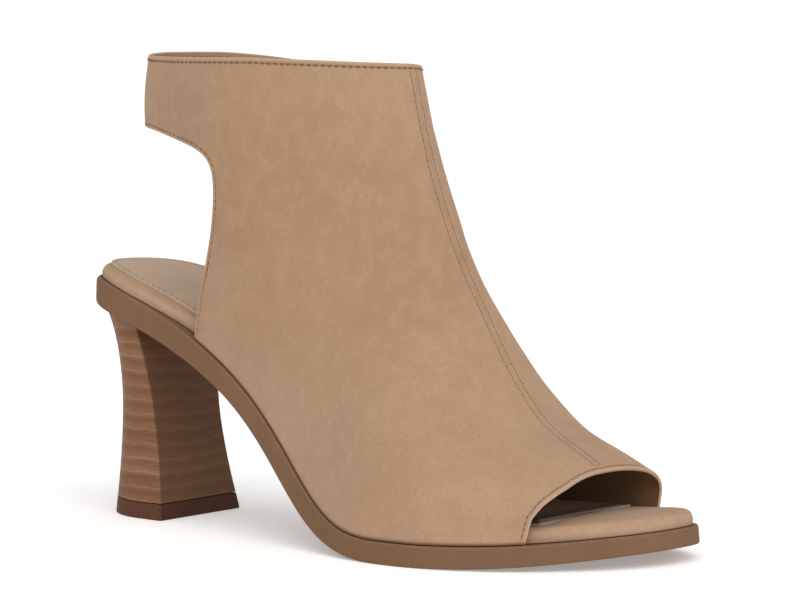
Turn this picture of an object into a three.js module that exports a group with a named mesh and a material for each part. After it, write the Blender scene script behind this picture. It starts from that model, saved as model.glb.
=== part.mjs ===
// One right-foot ankle sandal with an open toe and an open heel, lengths in millimetres.
// x runs from the back of the heel to the toe, y towards the inner side of the foot, z up from the floor.
import * as THREE from "three";

// ---- driving sizes ----
const soleLength = 223.6;
const heelStart = 1.2; // x where the outline begins
const ballWidth = 83.2; // of the outsole
const soleThickness = 7; // at the waist and the ball
const seatRise = 68.8; // how much higher the sole's top is at the heel than at the ball
const toeSpring = 5.3; // and at the toe
const heelEndLength = 32; // length over which the outline rounds off at the heel
const toeEndLength = 36; // the same at the toe
const heelEndPower = 2;
const toeEndPower = 2.35;
const heelLength = 31.5; // at its top, from x = 0 to the flat breast
const heelWidth = 42.8;
const topPieceHeight = 5.2;
const collarHeight = 150.4;
const ankleWidth = 64.8;
const pieceGap = 0.3;
const upperWall = 2;
const upperInset = 0.7; // from the sole's edge to the outer face of the upper
const insoleBase = 0.3; // height of the insole's underside over the outsole
const insoleClearance = 1; // between the insole's side and the upper's wall
const insoleThickness = 5.3;
const insoleRound = 2; // of its upper edge
const insoleCorner = 0.8; // of its lower edge
const sockMargin = 2.2; // how much further in than the insole's side
const sockThickness = 0.9;
const sockToToe = 24.3; // from the sock's front edge to the sole's

// Rows of a table become one smooth function per column, of the first column. Lengths in them are shares of
// the driving size that each table names.
function spline(xs, ys) {
  const n = xs.length;
  const m = new Array(n).fill(0);
  const c = new Array(n).fill(0);
  const d = new Array(n).fill(0);
  for (let i = 1; i < n - 1; i++) {
    const h0 = xs[i] - xs[i - 1];
    const h1 = xs[i + 1] - xs[i];
    const r = 6 * ((ys[i + 1] - ys[i]) / h1 - (ys[i] - ys[i - 1]) / h0);
    const b = 2 * (h0 + h1) - h0 * c[i - 1];
    c[i] = h1 / b;
    d[i] = (r - h0 * d[i - 1]) / b;
  }
  for (let i = n - 2; i > 0; i--) m[i] = d[i] - c[i] * m[i + 1];
  return (x) => {
    let i = 0;
    while (i < n - 2 && x > xs[i + 1]) i++;
    const h = xs[i + 1] - xs[i];
    const a = (xs[i + 1] - x) / h;
    const b = (x - xs[i]) / h;
    if (a > 1 || b > 1) {
      const end = a > 1 ? i : i + 1;
      const bend = a > 1 ? -2 * m[i] - m[i + 1] : m[i] + 2 * m[i + 1];
      const slope = (ys[i + 1] - ys[i]) / h + (h * bend) / 6;
      return ys[end] + slope * (x - xs[end]);
    }
    return a * ys[i] + b * ys[i + 1] + (((a * a * a - a) * m[i] + (b * b * b - b) * m[i + 1]) * h * h) / 6;
  };
}

function table(names, rows) {
  const keys = rows.map((row) => row[0]);
  const out = {};
  names.forEach((name, i) => {
    out[name] = spline(keys, rows.map((row) => row[i]));
  });
  return out;
}

// ---- sole: plan outline by share of length, in ball widths; side profile in seat rises and toe springs ----
const plan = table(["share", "centre", "half"], [
  [0, 0, 0.262],
  [0.12, 0, 0.3],
  [0.25, 0.0048, 0.3101],
  [0.38, -0.0096, 0.3173],
  [0.5, -0.0312, 0.3942],
  [0.62, -0.0433, 0.4832],
  [0.72, -0.0361, 0.5],
  [0.82, 0.012, 0.4639],
  [0.91, 0.0889, 0.3882],
  [1, 0.1743, 0.3185],
]);
const profile = table(["share", "seat", "toe"], [
  [0, 1, 0],
  [0.07, 0.9869, 0],
  [0.15, 0.9259, 0],
  [0.25, 0.7936, 0],
  [0.35, 0.6003, 0],
  [0.45, 0.343, 0],
  [0.55, 0.093, 0],
  [0.61, 0.0174, 0],
  [0.66, 0, 0],
  [0.7, -0.0022, 0],
  [0.74, 0, 0],
  [0.87, 0, 0.283],
  [1, 0, 1],
]);
// thick: in sole thicknesses; the seat is thicker, the toe thinner.
const soleShape = table(["share", "thick"], [
  [0, 1.25],
  [0.1, 1.25],
  [0.2, 1.19],
  [0.3, 1.08],
  [0.4, 1],
  [0.55, 1],
  [0.72, 1],
  [0.8, 0.985],
  [0.87, 0.94],
  [0.94, 0.89],
  [1, 0.83],
]);
const shareAt = (x) => (x - heelStart) / soleLength;
const thicknessAt = (s) => soleThickness * soleShape.thick(s);
const heightAt = (x) => {
  const s = shareAt(x);
  return thicknessAt(s) + Math.max(seatRise * profile.seat(s) + toeSpring * profile.toe(s), 0);
};
const slopeAt = (x) => Math.atan((heightAt(x + 0.05) - heightAt(x - 0.05)) / 0.1);

// A point e above the sole's top face, measured square to that face.
function lift(x, y, e) {
  const a = slopeAt(x);
  return [x - e * Math.sin(a), y, heightAt(x) + e * Math.cos(a)];
}

function roundOff(x) {
  const a = Math.min(Math.max(1 - (x - heelStart) / heelEndLength, 0), 1);
  const b = Math.min(Math.max(1 - (heelStart + soleLength - x) / toeEndLength, 0), 1);
  const atHeel = Math.pow(1 - Math.pow(a, heelEndPower), 1 / heelEndPower);
  const atToe = Math.pow(1 - Math.pow(b, toeEndPower), 1 / toeEndPower);
  return atHeel * atToe;
}

// The outline at angle f, 0 at the heel and pi at the toe; side is -1 for the outer edge, 1 for the inner.
function outlinePoint(f, side) {
  const share = (1 - Math.cos(f)) / 2;
  const x = heelStart + soleLength * share;
  const turned = Math.sin(f) < 0 ? -side : side;
  return [x, ballWidth * (plan.centre(share) + turned * plan.half(share) * roundOff(x))];
}

function insetPoint(f, side, inset) {
  const p = outlinePoint(f, side);
  const q0 = outlinePoint(f - 1e-3, side);
  const q1 = outlinePoint(f + 1e-3, side);
  const tx = q1[0] - q0[0];
  const ty = q1[1] - q0[1];
  const l = Math.hypot(tx, ty);
  return [p[0] + (side * inset * ty) / l, p[1] - (side * inset * tx) / l];
}

// y of the outline, moved in by inset, at a given x.
function edgeAt(x, side, inset) {
  let lo = 0.1;
  let hi = Math.PI - 0.1;
  for (let i = 0; i < 40; i++) {
    const f = (lo + hi) / 2;
    if (insetPoint(f, side, inset)[0] < x) lo = f;
    else hi = f;
  }
  return insetPoint((lo + hi) / 2, side, inset)[1];
}

// ---- meshes from quads, their vertices shared ----
class Skin {
  constructor() {
    this.points = [];
    this.faces = [];
    this.known = new Map();
  }
  add(p) {
    const key = p.map((v) => Math.round(v * 1e3)).join();
    if (!this.known.has(key)) {
      this.known.set(key, this.points.length);
      this.points.push(p);
    }
    return this.known.get(key);
  }
  tri(a, b, c) {
    const t = [this.add(a), this.add(b), this.add(c)];
    if (t[0] !== t[1] && t[1] !== t[2] && t[2] !== t[0]) this.faces.push(t);
  }
  quad(a, b, c, d) {
    this.tri(a, b, c);
    this.tri(a, c, d);
  }
  // Strips between neighbouring rows of points.
  net(rows) {
    for (let i = 0; i + 1 < rows.length; i++) {
      for (let j = 0; j + 1 < rows[i].length; j++) {
        this.quad(rows[i][j], rows[i + 1][j], rows[i + 1][j + 1], rows[i][j + 1]);
      }
    }
  }
  // Gives an open skin a wall on its inner side and closes the edges.
  thicken(wall) {
    const normals = this.points.map(() => new THREE.Vector3());
    const v = this.points.map((p) => new THREE.Vector3(...p));
    for (const [a, b, c] of this.faces) {
      const n = v[b].clone().sub(v[a]).cross(v[c].clone().sub(v[a]));
      for (const i of [a, b, c]) normals[i].add(n);
    }
    const count = this.points.length;
    normals.forEach((n, i) => {
      const q = v[i].clone().addScaledVector(n.normalize(), -wall);
      this.points.push([q.x, q.y, q.z]);
    });
    const open = new Map();
    for (const [a, b, c] of this.faces) {
      for (const [p, q] of [[a, b], [b, c], [c, a]]) {
        if (open.has(q + "," + p)) open.delete(q + "," + p);
        else open.set(p + "," + q, [p, q]);
      }
    }
    for (const [a, b, c] of [...this.faces]) this.faces.push([c + count, b + count, a + count]);
    for (const [p, q] of open.values()) {
      this.faces.push([q, p, p + count], [q, p + count, q + count]);
    }
  }
  mesh(name, colour) {
    const g = new THREE.BufferGeometry();
    g.setAttribute("position", new THREE.Float32BufferAttribute(this.points.flat(), 3));
    g.setIndex(this.faces.flat());
    g.computeVertexNormals();
    const m = new THREE.Mesh(g, new THREE.MeshStandardMaterial({ color: colour, roughness: 0.8 }));
    m.name = name;
    return m;
  }
}

// A solid from levels that lie over one another from the bottom up. A level is rows of points from back to
// front, each row running from the outer side of the foot to the inner one; a row may shrink to one point.
function fromLevels(levels) {
  const skin = new Skin();
  const across = levels[0][0].length - 1;
  const lastRow = levels[0].length - 1;
  skin.net(levels[0].map((row) => [...row].reverse()));
  skin.net(levels[levels.length - 1]);
  for (let k = 0; k + 1 < levels.length; k++) {
    const a = levels[k];
    const b = levels[k + 1];
    skin.net([b.map((row) => row[0]), a.map((row) => row[0])]);
    skin.net([a.map((row) => row[across]), b.map((row) => row[across])]);
    skin.net([a[0], b[0]]);
    skin.net([b[lastRow], a[lastRow]]);
  }
  return skin;
}

// A layer that follows the sole. Each ring is [inset, height]: how far it is in from the outline and how far
// above the outsole, both functions of the share of length, listed from the underside round to the top.
function layer(rings, stations, across, lastAngle = Math.PI) {
  return fromLevels(rings.map(([inset, height]) => {
    const rows = [];
    for (let i = 0; i <= stations; i++) {
      const f = (lastAngle * i) / stations;
      const share = (1 - Math.cos(f)) / 2;
      const p = insetPoint(f, -1, inset(share));
      const q = insetPoint(f, 1, inset(share));
      const row = [];
      for (let j = 0; j <= across; j++) {
        const x = p[0] + ((q[0] - p[0]) * j) / across;
        const y = p[1] + ((q[1] - p[1]) * j) / across;
        row.push(lift(x, y, height(shareAt(x))));
      }
      rows.push(row);
    }
    return rows;
  }));
}

const group = new THREE.Group();
group.name = "sandal";
const always = (v) => () => v;

// ---- outsole: a square edge with its corners just broken ----
const outsoleCorner = 0.6;
const outsole = layer([
  [always(outsoleCorner), (s) => -thicknessAt(s)],
  [always(0), (s) => outsoleCorner - thicknessAt(s)],
  [always(0), always(-outsoleCorner)],
  [always(outsoleCorner), always(0)],
], 56, 4);
group.add(outsole.mesh("outsole", "#87674f"));

// ---- padded insole: round edges; it is narrower where the upper passes down beside it. Its inset is in the
// room that the upper takes up there, its thickness in insole thicknesses ----
const insoleInset = upperInset + upperWall + insoleClearance;
const insoleShape = table(["share", "inset", "thick"], [
  [0, 0.7, 0.65],
  [0.07, 0.42, 0.67],
  [0.13, 0.3, 0.67],
  [0.19, 0.48, 0.69],
  [0.24, 0.93, 0.75],
  [0.32, 1, 0.8113],
  [0.5, 1, 0.8113],
  [0.7, 1, 0.8679],
  [0.84, 1, 0.9],
  [0.89, 0.9, 0.9],
  [0.94, 0.55, 0.88],
  [1, 0.42, 0.84],
]);
const insoleTop = (s) => insoleBase + insoleThickness * insoleShape.thick(s);
const insoleSide = (s) => insoleInset * insoleShape.inset(s);
const insoleRings = [
  [(s) => insoleSide(s) + insoleCorner, always(insoleBase)],
  [insoleSide, always(insoleBase + insoleCorner)],
];
for (let i = 0; i <= 4; i++) {
  const a = (Math.PI / 2) * (i / 4);
  insoleRings.push([
    (s) => insoleSide(s) + insoleRound * (1 - Math.cos(a)),
    (s) => insoleTop(s) - insoleRound * (1 - Math.sin(a)),
  ]);
}
const insole = layer(insoleRings, 42, 4);
group.add(insole.mesh("insole", "#b0907a"));

// ---- sock lining: a thin sheet on the insole that ends in a straight edge behind the toe opening ----
const sockShape = table(["share", "inset"], [
  [0, 0.8],
  [0.06, 0.87],
  [0.12, 0.97],
  [0.22, 1.15],
  [0.3, 1.2],
  [0.6, 1.2],
  [0.8, 1.25],
  [1, 1.3],
]);
// The layer's rows lie back from their stations by a little, because they are set in from the outline.
const sockSetBack = 2;
const sockAngle = Math.acos(1 - 2 * (1 - (sockToToe - sockSetBack) / soleLength));
const sockSide = (s) => (insoleInset + sockMargin) * sockShape.inset(s);
const sock = layer([
  [sockSide, (s) => insoleTop(s) + pieceGap],
  [sockSide, (s) => insoleTop(s) + pieceGap + sockThickness],
], 44, 4, sockAngle);
group.add(sock.mesh("sock_lining", "#a89a87"));

// ---- heel: D-shaped sections, flat towards the toe, by share of its height, in heel lengths and widths ----
const heelShape = table(["share", "breast", "half", "back", "straight"], [
  [0, 1.3016, 0.4579, 0.3079, 0.2698],
  [0.15, 1.2476, 0.4206, 0.3397, 0.254],
  [0.3, 1.1968, 0.3949, 0.3683, 0.2381],
  [0.45, 1.146, 0.3808, 0.3905, 0.2222],
  [0.6, 1.1016, 0.3832, 0.4032, 0.2063],
  [0.75, 1.0635, 0.4112, 0.3968, 0.1905],
  [0.87, 1.0381, 0.4509, 0.3683, 0.1746],
  [0.95, 1.0159, 0.4813, 0.3143, 0.1587],
  [1, 1, 0.5, 0.2635, 0.1587],
]);

// z of the outsole's underside at a given x.
function underside(x) {
  let at = x;
  for (let i = 0; i < 12; i++) at = x - thicknessAt(shareAt(at)) * Math.sin(slopeAt(at));
  return heightAt(at) - thicknessAt(shareAt(at)) * Math.cos(slopeAt(at));
}

const heelHeight = underside(heelLength / 2);

// Rows of the section at a share of the height, from the tip of the round back to the flat breast.
function heelRows(share, arcs, across, zOf, shrink = 0) {
  const breast = heelLength * heelShape.breast(share) - shrink;
  const half = heelWidth * heelShape.half(share) - shrink;
  const start = breast - heelLength * heelShape.straight(share) + shrink;
  const reach = start - heelLength * heelShape.back(share) - shrink;
  const ends = [];
  for (let i = 0; i <= arcs; i++) {
    const a = (Math.PI / 2) * (i / arcs);
    ends.push([start - reach * Math.cos(a), half * Math.sin(a)]);
  }
  for (let i = 1; i <= 3; i++) ends.push([start + ((breast - start) * i) / 3, half]);
  return ends.map(([x, y]) => {
    const row = [];
    for (let j = 0; j <= across; j++) row.push([x, y * (-1 + (2 * j) / across), zOf(x)]);
    return row;
  });
}

const topPieceCorner = 0.4;
const topPiece = fromLevels([
  heelRows(0, 14, 6, always(0), topPieceCorner),
  heelRows(topPieceCorner / heelHeight, 14, 6, always(topPieceCorner)),
  heelRows(topPieceHeight / heelHeight, 14, 6, always(topPieceHeight)),
]);
group.add(topPiece.mesh("top_piece", "#4a3026"));

const stackBase = topPieceHeight + pieceGap;
const heelSteps = 16;
const heelClearance = 0.4; // under the outsole
const heelLevels = [];
for (let i = 0; i <= heelSteps; i++) {
  const share = stackBase / heelHeight + (1 - stackBase / heelHeight) * (i / heelSteps);
  const level = (x) => stackBase + (underside(x) - heelClearance - stackBase) * (i / heelSteps);
  heelLevels.push(heelRows(share, 14, 6, level));
}
group.add(fromLevels(heelLevels).mesh("heel", "#8a6a54"));

// ---- upper: one leather shell over the foot, with a closed band round the ankle ----
// Its sections are planes square to the side view. Each starts at the centre seam and ends on the lower edge:
// rows 0 to 8 end on the sole, rows 8 to 13 on the edge of the heel opening, rows 13 to 15 go round the ankle.
// x and lengths along a section are in sole lengths, z in collar heights, widths of the foot in ball widths.
const ridge = table(["row", "x", "z", "y"], [
  [0, 0.8976, 0.1908, 0.0601],
  [1, 0.8497, 0.2327, 0.0505],
  [2, 0.805, 0.2753, 0.0421],
  [3, 0.7621, 0.3497, 0.0349],
  [4, 0.7317, 0.4202, 0.0288],
  [5, 0.7048, 0.49, 0.024],
  [6, 0.6798, 0.5545, 0.0192],
  [7, 0.6588, 0.617, 0.0156],
  [8, 0.6418, 0.6769, 0.012],
  [9, 0.6279, 0.734, 0.0084],
  [10, 0.6167, 0.7859, 0.0048],
  [11, 0.6096, 0.8271, 0.0024],
  [12, 0.6042, 0.857, 0.0012],
  [13, 0.6015, 0.8743, 0],
  [14, 0.5917, 0.9375, 0],
  [15, 0.5809, 0.9993, 0],
]);
const footRows = 8;
const borderRow = 13;
const collarRow = 15;
// Where the foot rows meet the sole, on the outer and the inner side; bow: how far forward an outer row bends.
const feather = table(["row", "outer", "inner", "bow"], [
  [0, 0.885, 0.8846, 0.0067],
  [1, 0.825, 0.8269, 0.0031],
  [2, 0.7576, 0.7607, 0.0009],
  [3, 0.6798, 0.6798, 0],
  [4, 0.597, 0.597, 0],
  [5, 0.5165, 0.5165, 0],
  [6, 0.436, 0.436, 0],
  [7, 0.3555, 0.3555, 0],
  [8, 0.2701, 0.2701, 0],
]);
// rise: share of the way up from the sole to the collar.
const heelOpening = table(["row", "x", "rise"], [
  [8, 0.2701, 0],
  [9, 0.2871, 0.1642],
  [10, 0.314, 0.3526],
  [11, 0.3274, 0.53],
  [12, 0.3131, 0.663],
  [13, 0.2415, 0.7229],
]);
// depth: along the section from the ridge to its widest point; power: how full the section is at the ridge.
const shape = table(["row", "depth", "power"], [
  [0, 0.0581, 2.5],
  [1, 0.0827, 2.4],
  [2, 0.114, 2.3],
  [3, 0.1655, 2.2],
  [4, 0.2013, 2.12],
  [5, 0.2214, 2.12],
  [6, 0.2303, 2.12],
  [7, 0.2437, 2.12],
  [8, 0.2572, 2.1],
  [9, 0.2616, 2.04],
  [10, 0.2625, 1.96],
  [11, 0.2621, 1.88],
  [12, 0.2612, 1.82],
  [13, 0.2589, 1.78],
  [14, 0.25, 1.73],
  [15, 0.2366, 1.7],
]);
// bulge: how much a foot row overhangs its lower edge.
const overhang = table(["row", "bulge"], [
  [0, 0.002],
  [2, 0.004],
  [4, 0.0096],
  [6, 0.0265],
  [8, 0.0433],
]);
// half: half width of an ankle row, in ankle widths; rear: from its widest point to where it closes behind.
const ankle = table(["row", "half", "rear"], [
  [8, 0.4568, 0.2862],
  [9, 0.4583, 0.2504],
  [10, 0.4614, 0.2303],
  [11.5, 0.4707, 0.2263],
  [13, 0.4815, 0.2343],
  [15, 0.5, 0.2236],
]);
// The outer side of the collar stands a little higher than its middle, the inner side lower, more so in front.
const tilt = { outer: [0, 0.0262], inner: [0.0123, 0.0493] }; // behind and in front, in ankle widths
function collarTilt(x, side) {
  const k = Math.min(Math.max((x / soleLength - 0.1565) / 0.246, 0), 1);
  const [behind, front] = side < 0 ? tilt.outer : tilt.inner;
  return ankleWidth * (behind + (front - behind) * k);
}
// The toe's edge is cut further forward, in rows, by the share of the way down from the seam, negative on the
// outer side; the rows behind it follow less and less.
const toeCut = table(["down", "rows"], [
  [-1, -0.06],
  [-0.95, -0.06],
  [-0.9, -0.02],
  [-0.8, 0.05],
  [-0.7, 0.11],
  [-0.6, 0.165],
  [-0.5, 0.2],
  [-0.4, 0.22],
  [-0.3, 0.205],
  [-0.2, 0.17],
  [-0.1, 0.13],
  [0, 0.1],
  [0.15, 0.1],
  [0.3, 0.1],
  [0.6, 0.06],
  [1, 0],
]);
const cutRows = 3;
// The band's lower edge: how much higher it is than where the heel opening meets it.
const bandEdge = table(["x", "rise"], [
  [0.0984, 0.0126],
  [0.1386, 0.0126],
  [0.1968, 0.01],
  [0.2415, 0],
]);

const ridgePoint = (row) => [soleLength * ridge.x(row), collarHeight * ridge.z(row)];
const footAt = (name, row) => {
  const p = lift(soleLength * feather[name](row), 0, insoleBase);
  return [p[0], p[2]];
};
const openingFoot = footAt("outer", footRows)[1];
const openingPoint = (row) => [
  soleLength * heelOpening.x(row),
  openingFoot + (collarHeight - openingFoot) * heelOpening.rise(row),
];
const borderEnd = openingPoint(borderRow); // where the opening meets the band, and the ridge beside it
const borderRidge = ridgePoint(borderRow);
const bandLean = 0.0054; // how far forward the band's top is there, in sole lengths

// Everything about one row that its points need, for the outer side and the inner one.
function section(row) {
  const r = ridgePoint(row);
  const yr = ballWidth * ridge.y(row);
  const depth = soleLength * shape.depth(row);
  const sides = ["outer", "inner"].map((name, i) => {
    const side = i === 0 ? -1 : 1;
    const atFoot = (n) => side * (edgeAt(soleLength * feather[name](n), side, upperInset) - ballWidth * ridge.y(n));
    let end;
    if (row <= footRows) end = footAt(name, row);
    else if (row <= borderRow) end = openingPoint(row);
    else {
      const k = (row - borderRow) / (collarRow - borderRow);
      end = [borderEnd[0] + soleLength * bandLean * k, borderEnd[1] + (collarHeight - borderEnd[1]) * k];
    }
    const reach = Math.hypot(end[0] - r[0], end[1] - r[1]);
    if (row <= footRows) {
      const foot = atFoot(row);
      const half = foot + ballWidth * overhang.bulge(row);
      const last = Math.PI - Math.asin(foot / half);
      const rear = (reach - depth) / -Math.cos(last);
      return { half, rear, end, reach, last, bow: i === 0 ? soleLength * feather.bow(row) : 0 };
    }
    // Just above the foot rows the ankle takes over their width, which it then leaves gradually.
    const below = footEnd[i];
    const fade = Math.max(0, 1 - (row - footRows) / 3) ** 2;
    const half = ankleWidth * ankle.half(row) + (below.half - ankleWidth * ankle.half(footRows)) * fade;
    const rear = soleLength * ankle.rear(row) + (below.rear - soleLength * ankle.rear(footRows)) * fade;
    return { half, rear, end, reach, last: Math.acos(-(reach - depth) / rear), bow: 0 };
  });
  return { row, r, yr, depth, sides, power: shape.power(row) };
}

// Point of a section at angle a: 0 on the ridge, a right angle at the widest point, pi where it closes behind.
function upperPoint(s, side, a) {
  const { half, rear, end, reach, bow } = s.sides[side < 0 ? 0 : 1];
  const c = Math.cos(a);
  const front = a < Math.PI / 2;
  const d = front ? s.depth * (1 - Math.pow(c, 2 / s.power)) : s.depth - rear * c;
  const w = half * (front ? Math.pow(Math.sin(a), 2 / s.power) : Math.sin(a));
  const t = d / reach;
  const x = s.r[0] + (end[0] - s.r[0]) * t + bow * 4 * t * (1 - t);
  let z = s.r[1] + (end[1] - s.r[1]) * t;
  if (s.row >= borderRow) {
    const k = (s.row - borderRow) / (collarRow - borderRow);
    const behind = (x - borderEnd[0]) / (borderRidge[0] - borderEnd[0]);
    if (behind < 0) {
      const edge = borderEnd[1] + collarHeight * bandEdge.rise(x / soleLength);
      z += (1 - k) * (edge - (borderEnd[1] + (borderRidge[1] - borderEnd[1]) * behind));
    }
    z -= (k * collarTilt(x, side) * side * w) / half;
  }
  return [x, s.yr + side * w, z];
}

const footEnd = [];
footEnd.push(...section(footRows).sides);

const upperColumns = 16;
const backColumns = 9;
const footSteps = 20;
const openingSteps = 15;
const upper = new Skin();
function upperRow(row, closed) {
  const s = section(row);
  const out = [];
  const half = (side) => {
    const last = s.sides[side < 0 ? 0 : 1].last;
    const list = [];
    for (let j = 0; j <= upperColumns; j++) {
      const at = row < cutRows ? section(row - toeCut.rows((side * j) / upperColumns) * (1 - row / cutRows) ** 2) : s;
      list.push(upperPoint(at, side, (at.sides[side < 0 ? 0 : 1].last * j) / upperColumns));
    }
    if (closed) {
      for (let j = 1; j <= backColumns; j++) {
        list.push(upperPoint(s, side, last + ((Math.PI - last) * j) / backColumns));
      }
    }
    return list;
  };
  out.push(...half(-1).reverse(), ...half(1).slice(1));
  return out;
}
const bodyRows = [];
const bandRows = [];
for (let i = 0; i <= footSteps; i++) bodyRows.push(upperRow((footRows * i) / footSteps, false));
for (let i = 1; i <= openingSteps; i++) {
  bodyRows.push(upperRow(footRows + ((borderRow - footRows) * i) / openingSteps, false));
}
for (let i = 0; i <= 4; i++) bandRows.push(upperRow(borderRow + i / 2, true));
upper.net(bodyRows.map((row) => [...row].reverse()));
upper.net(bandRows.map((row) => [...row].reverse()));
upper.thicken(upperWall);
group.add(upper.mesh("upper", "#b4957a"));

// The part's origin is on the floor under the middle of its bounding box.
const box = new THREE.Box3().setFromObject(group);
for (const m of group.children) {
  m.geometry.translate(-(box.min.x + box.max.x) / 2, -(box.min.y + box.max.y) / 2, -box.min.z);
}

export default group;
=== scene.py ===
import math
from types import SimpleNamespace

import bmesh
import bpy
import numpy as np
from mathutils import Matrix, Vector


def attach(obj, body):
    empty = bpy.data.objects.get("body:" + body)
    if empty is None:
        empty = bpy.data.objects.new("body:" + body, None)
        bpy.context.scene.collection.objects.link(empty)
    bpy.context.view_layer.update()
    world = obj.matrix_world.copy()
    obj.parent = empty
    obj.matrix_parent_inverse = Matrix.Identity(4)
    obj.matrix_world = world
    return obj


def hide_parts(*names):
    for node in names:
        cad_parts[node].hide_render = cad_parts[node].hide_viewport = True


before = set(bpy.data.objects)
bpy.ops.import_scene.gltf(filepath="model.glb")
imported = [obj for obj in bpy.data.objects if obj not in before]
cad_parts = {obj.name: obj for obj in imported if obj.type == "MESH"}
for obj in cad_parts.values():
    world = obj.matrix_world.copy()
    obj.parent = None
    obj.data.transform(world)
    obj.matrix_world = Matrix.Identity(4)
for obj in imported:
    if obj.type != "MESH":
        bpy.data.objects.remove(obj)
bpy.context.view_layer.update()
print("frame loaded")

# Everything below is worked out in millimetres in the last's own frame: x from the back of the heel to the
# toe, y towards the inner side of the foot, z up from the floor. frameShift takes it to the model's frame.
frameShift = np.array([-113.2232, 2.747, 0.0])
mm = 0.001


# A natural cubic spline through each column over the first column: the second derivatives m solve
# h0 m0 + 2(h0 + h1) m1 + h1 m2 = 6 (slope1 - slope0), and past either end the curve goes on straight.
def smoothTable(names, rows):
    data = np.array(rows, float)
    knots, columns = data[:, 0], data[:, 1:]
    count = len(knots)
    h = np.diff(knots)
    slopes = np.diff(columns, axis=0) / h[:, None]
    system = np.eye(count)
    inner = np.arange(1, count - 1)
    system[inner, inner - 1] = h[:-1]
    system[inner, inner] = 2 * (h[:-1] + h[1:])
    system[inner, inner + 1] = h[1:]
    right = np.zeros(columns.shape)
    right[1:-1] = 6 * np.diff(slopes, axis=0)
    bend = np.linalg.solve(system, right)

    def column(k):
        y, m = columns[:, k], bend[:, k]
        first = slopes[0, k] - h[0] * (2 * m[0] + m[1]) / 6
        last = slopes[-1, k] + h[-1] * (m[-2] + 2 * m[-1]) / 6

        def at(x):
            x = np.asarray(x, float)
            inside = np.clip(x, knots[0], knots[-1])
            i = np.clip(np.searchsorted(knots, inside) - 1, 0, count - 2)
            a = (knots[i + 1] - inside) / h[i]
            b = 1 - a
            curved = ((a**3 - a) * m[i] + (b**3 - b) * m[i + 1]) * h[i] ** 2 / 6
            before, after = np.minimum(x - knots[0], 0), np.maximum(x - knots[-1], 0)
            return a * y[i] + b * y[i + 1] + curved + first * before + last * after

        return at

    return SimpleNamespace(**{name: column(k) for k, name in enumerate(names)})


# Values from the first place to the last whose spacing follows the step sizes given at some places:
# the count up to x is the integral of 1/step, cut into equal parts.
def ladder(*stops):
    places, sizes = np.array(stops, float).T
    x = np.linspace(places[0], places[-1], 6001)
    rate = 1 / np.interp(x, places, sizes)
    count = np.concatenate([[0], np.cumsum((rate[1:] + rate[:-1]) / 2 * np.diff(x))])
    return np.interp(np.linspace(0, count[-1], int(np.ceil(count[-1])) + 1), count, x)


def bell(x, middle, width):  # exp(-((x - middle) / width)^2)
    return np.exp(-(((x - middle) / width) ** 2))


def smoothStep(low, high, x):  # 0 below low, 1 above high, 3t^2 - 2t^3 between
    t = np.clip((np.asarray(x, float) - low) / (high - low), 0, 1)
    return t * t * (3 - 2 * t)


# Four-cornered faces between neighbours of a table of vertex numbers.
def gridFaces(index):
    return np.stack([index[:-1, :-1], index[1:, :-1], index[1:, 1:], index[:-1, 1:]], -1).reshape(-1, 4)


def numbered(points):  # the number of each point of a table of points
    return np.arange(points.shape[0] * points.shape[1]).reshape(points.shape[:2])


def wrapped(index):  # the same table with its first column repeated behind the last
    return np.concatenate([index, index[:, :1]], 1)


# A piece from points in millimetres and faces: slots is each face's place among the materials, marks are values
# at the points that its materials read, and edges that turn by more than sharp degrees stay sharp.
def makePiece(name, points, faces, materials, slots=None, marks=None, merge=True, sharp=40):
    mesh = bpy.data.meshes.new(name)
    place = (np.asarray(points, float).reshape(-1, 3) + frameShift) * mm
    mesh.from_pydata(place.tolist(), [], np.asarray(faces).tolist())
    if slots is not None:
        mesh.polygons.foreach_set("material_index", np.asarray(slots, np.int32))
    for key, values in (marks or {}).items():
        layer = mesh.attributes.new(key, "FLOAT", "POINT")
        layer.data.foreach_set("value", np.asarray(values, np.float32).ravel())
    if merge:  # seams and poles are closed, and what is left without area goes
        work = bmesh.new()
        work.from_mesh(mesh)
        bmesh.ops.remove_doubles(work, verts=work.verts, dist=2e-6)
        bmesh.ops.dissolve_degenerate(work, edges=work.edges, dist=1e-7)
        bmesh.ops.recalc_face_normals(work, faces=work.faces)
        work.to_mesh(mesh)
        work.free()
    mesh.polygons.foreach_set("use_smooth", np.ones(len(mesh.polygons), bool))
    mesh.set_sharp_from_angle(angle=math.radians(sharp))
    for material in materials:
        mesh.materials.append(material)
    piece = bpy.data.objects.new(name, mesh)
    bpy.context.scene.collection.objects.link(piece)
    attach(piece, "root")
    print(name, len(mesh.vertices), "points")
    return piece


def colour(text):  # an sRGB hex value as linear light
    srgb = np.array([int(text[i : i + 2], 16) for i in (1, 3, 5)]) / 255
    linear = np.where(srgb <= 0.04045, srgb / 12.92, ((srgb + 0.055) / 1.055) ** 2.4)
    return (*linear.tolist(), 1.0)


# Adds a node and gives back one of its outputs. A setting is an input's value, by its name or number, or else a
# property of the node; a value that starts with # is a colour; stops are a colour ramp's (place, colour) pairs.
def addNode(tree, kind, settings=None, links=None, output=0, stops=()):
    node = tree.nodes.new("ShaderNode" + kind)
    for key, value in (settings or {}).items():
        value = colour(value) if str(value).startswith("#") else value
        if isinstance(key, int) or key in node.inputs:
            node.inputs[key].default_value = value
        else:
            setattr(node, key, value)
    for key, source in (links or {}).items():
        tree.links.new(source, node.inputs[key])
    while stops and len(node.color_ramp.elements) < len(stops):
        node.color_ramp.elements.new(0.5)
    for number, (place, text) in enumerate(stops):
        node.color_ramp.elements[number].position = place
        node.color_ramp.elements[number].color = colour(text)
    return node.outputs[output] if node.outputs else None


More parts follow.
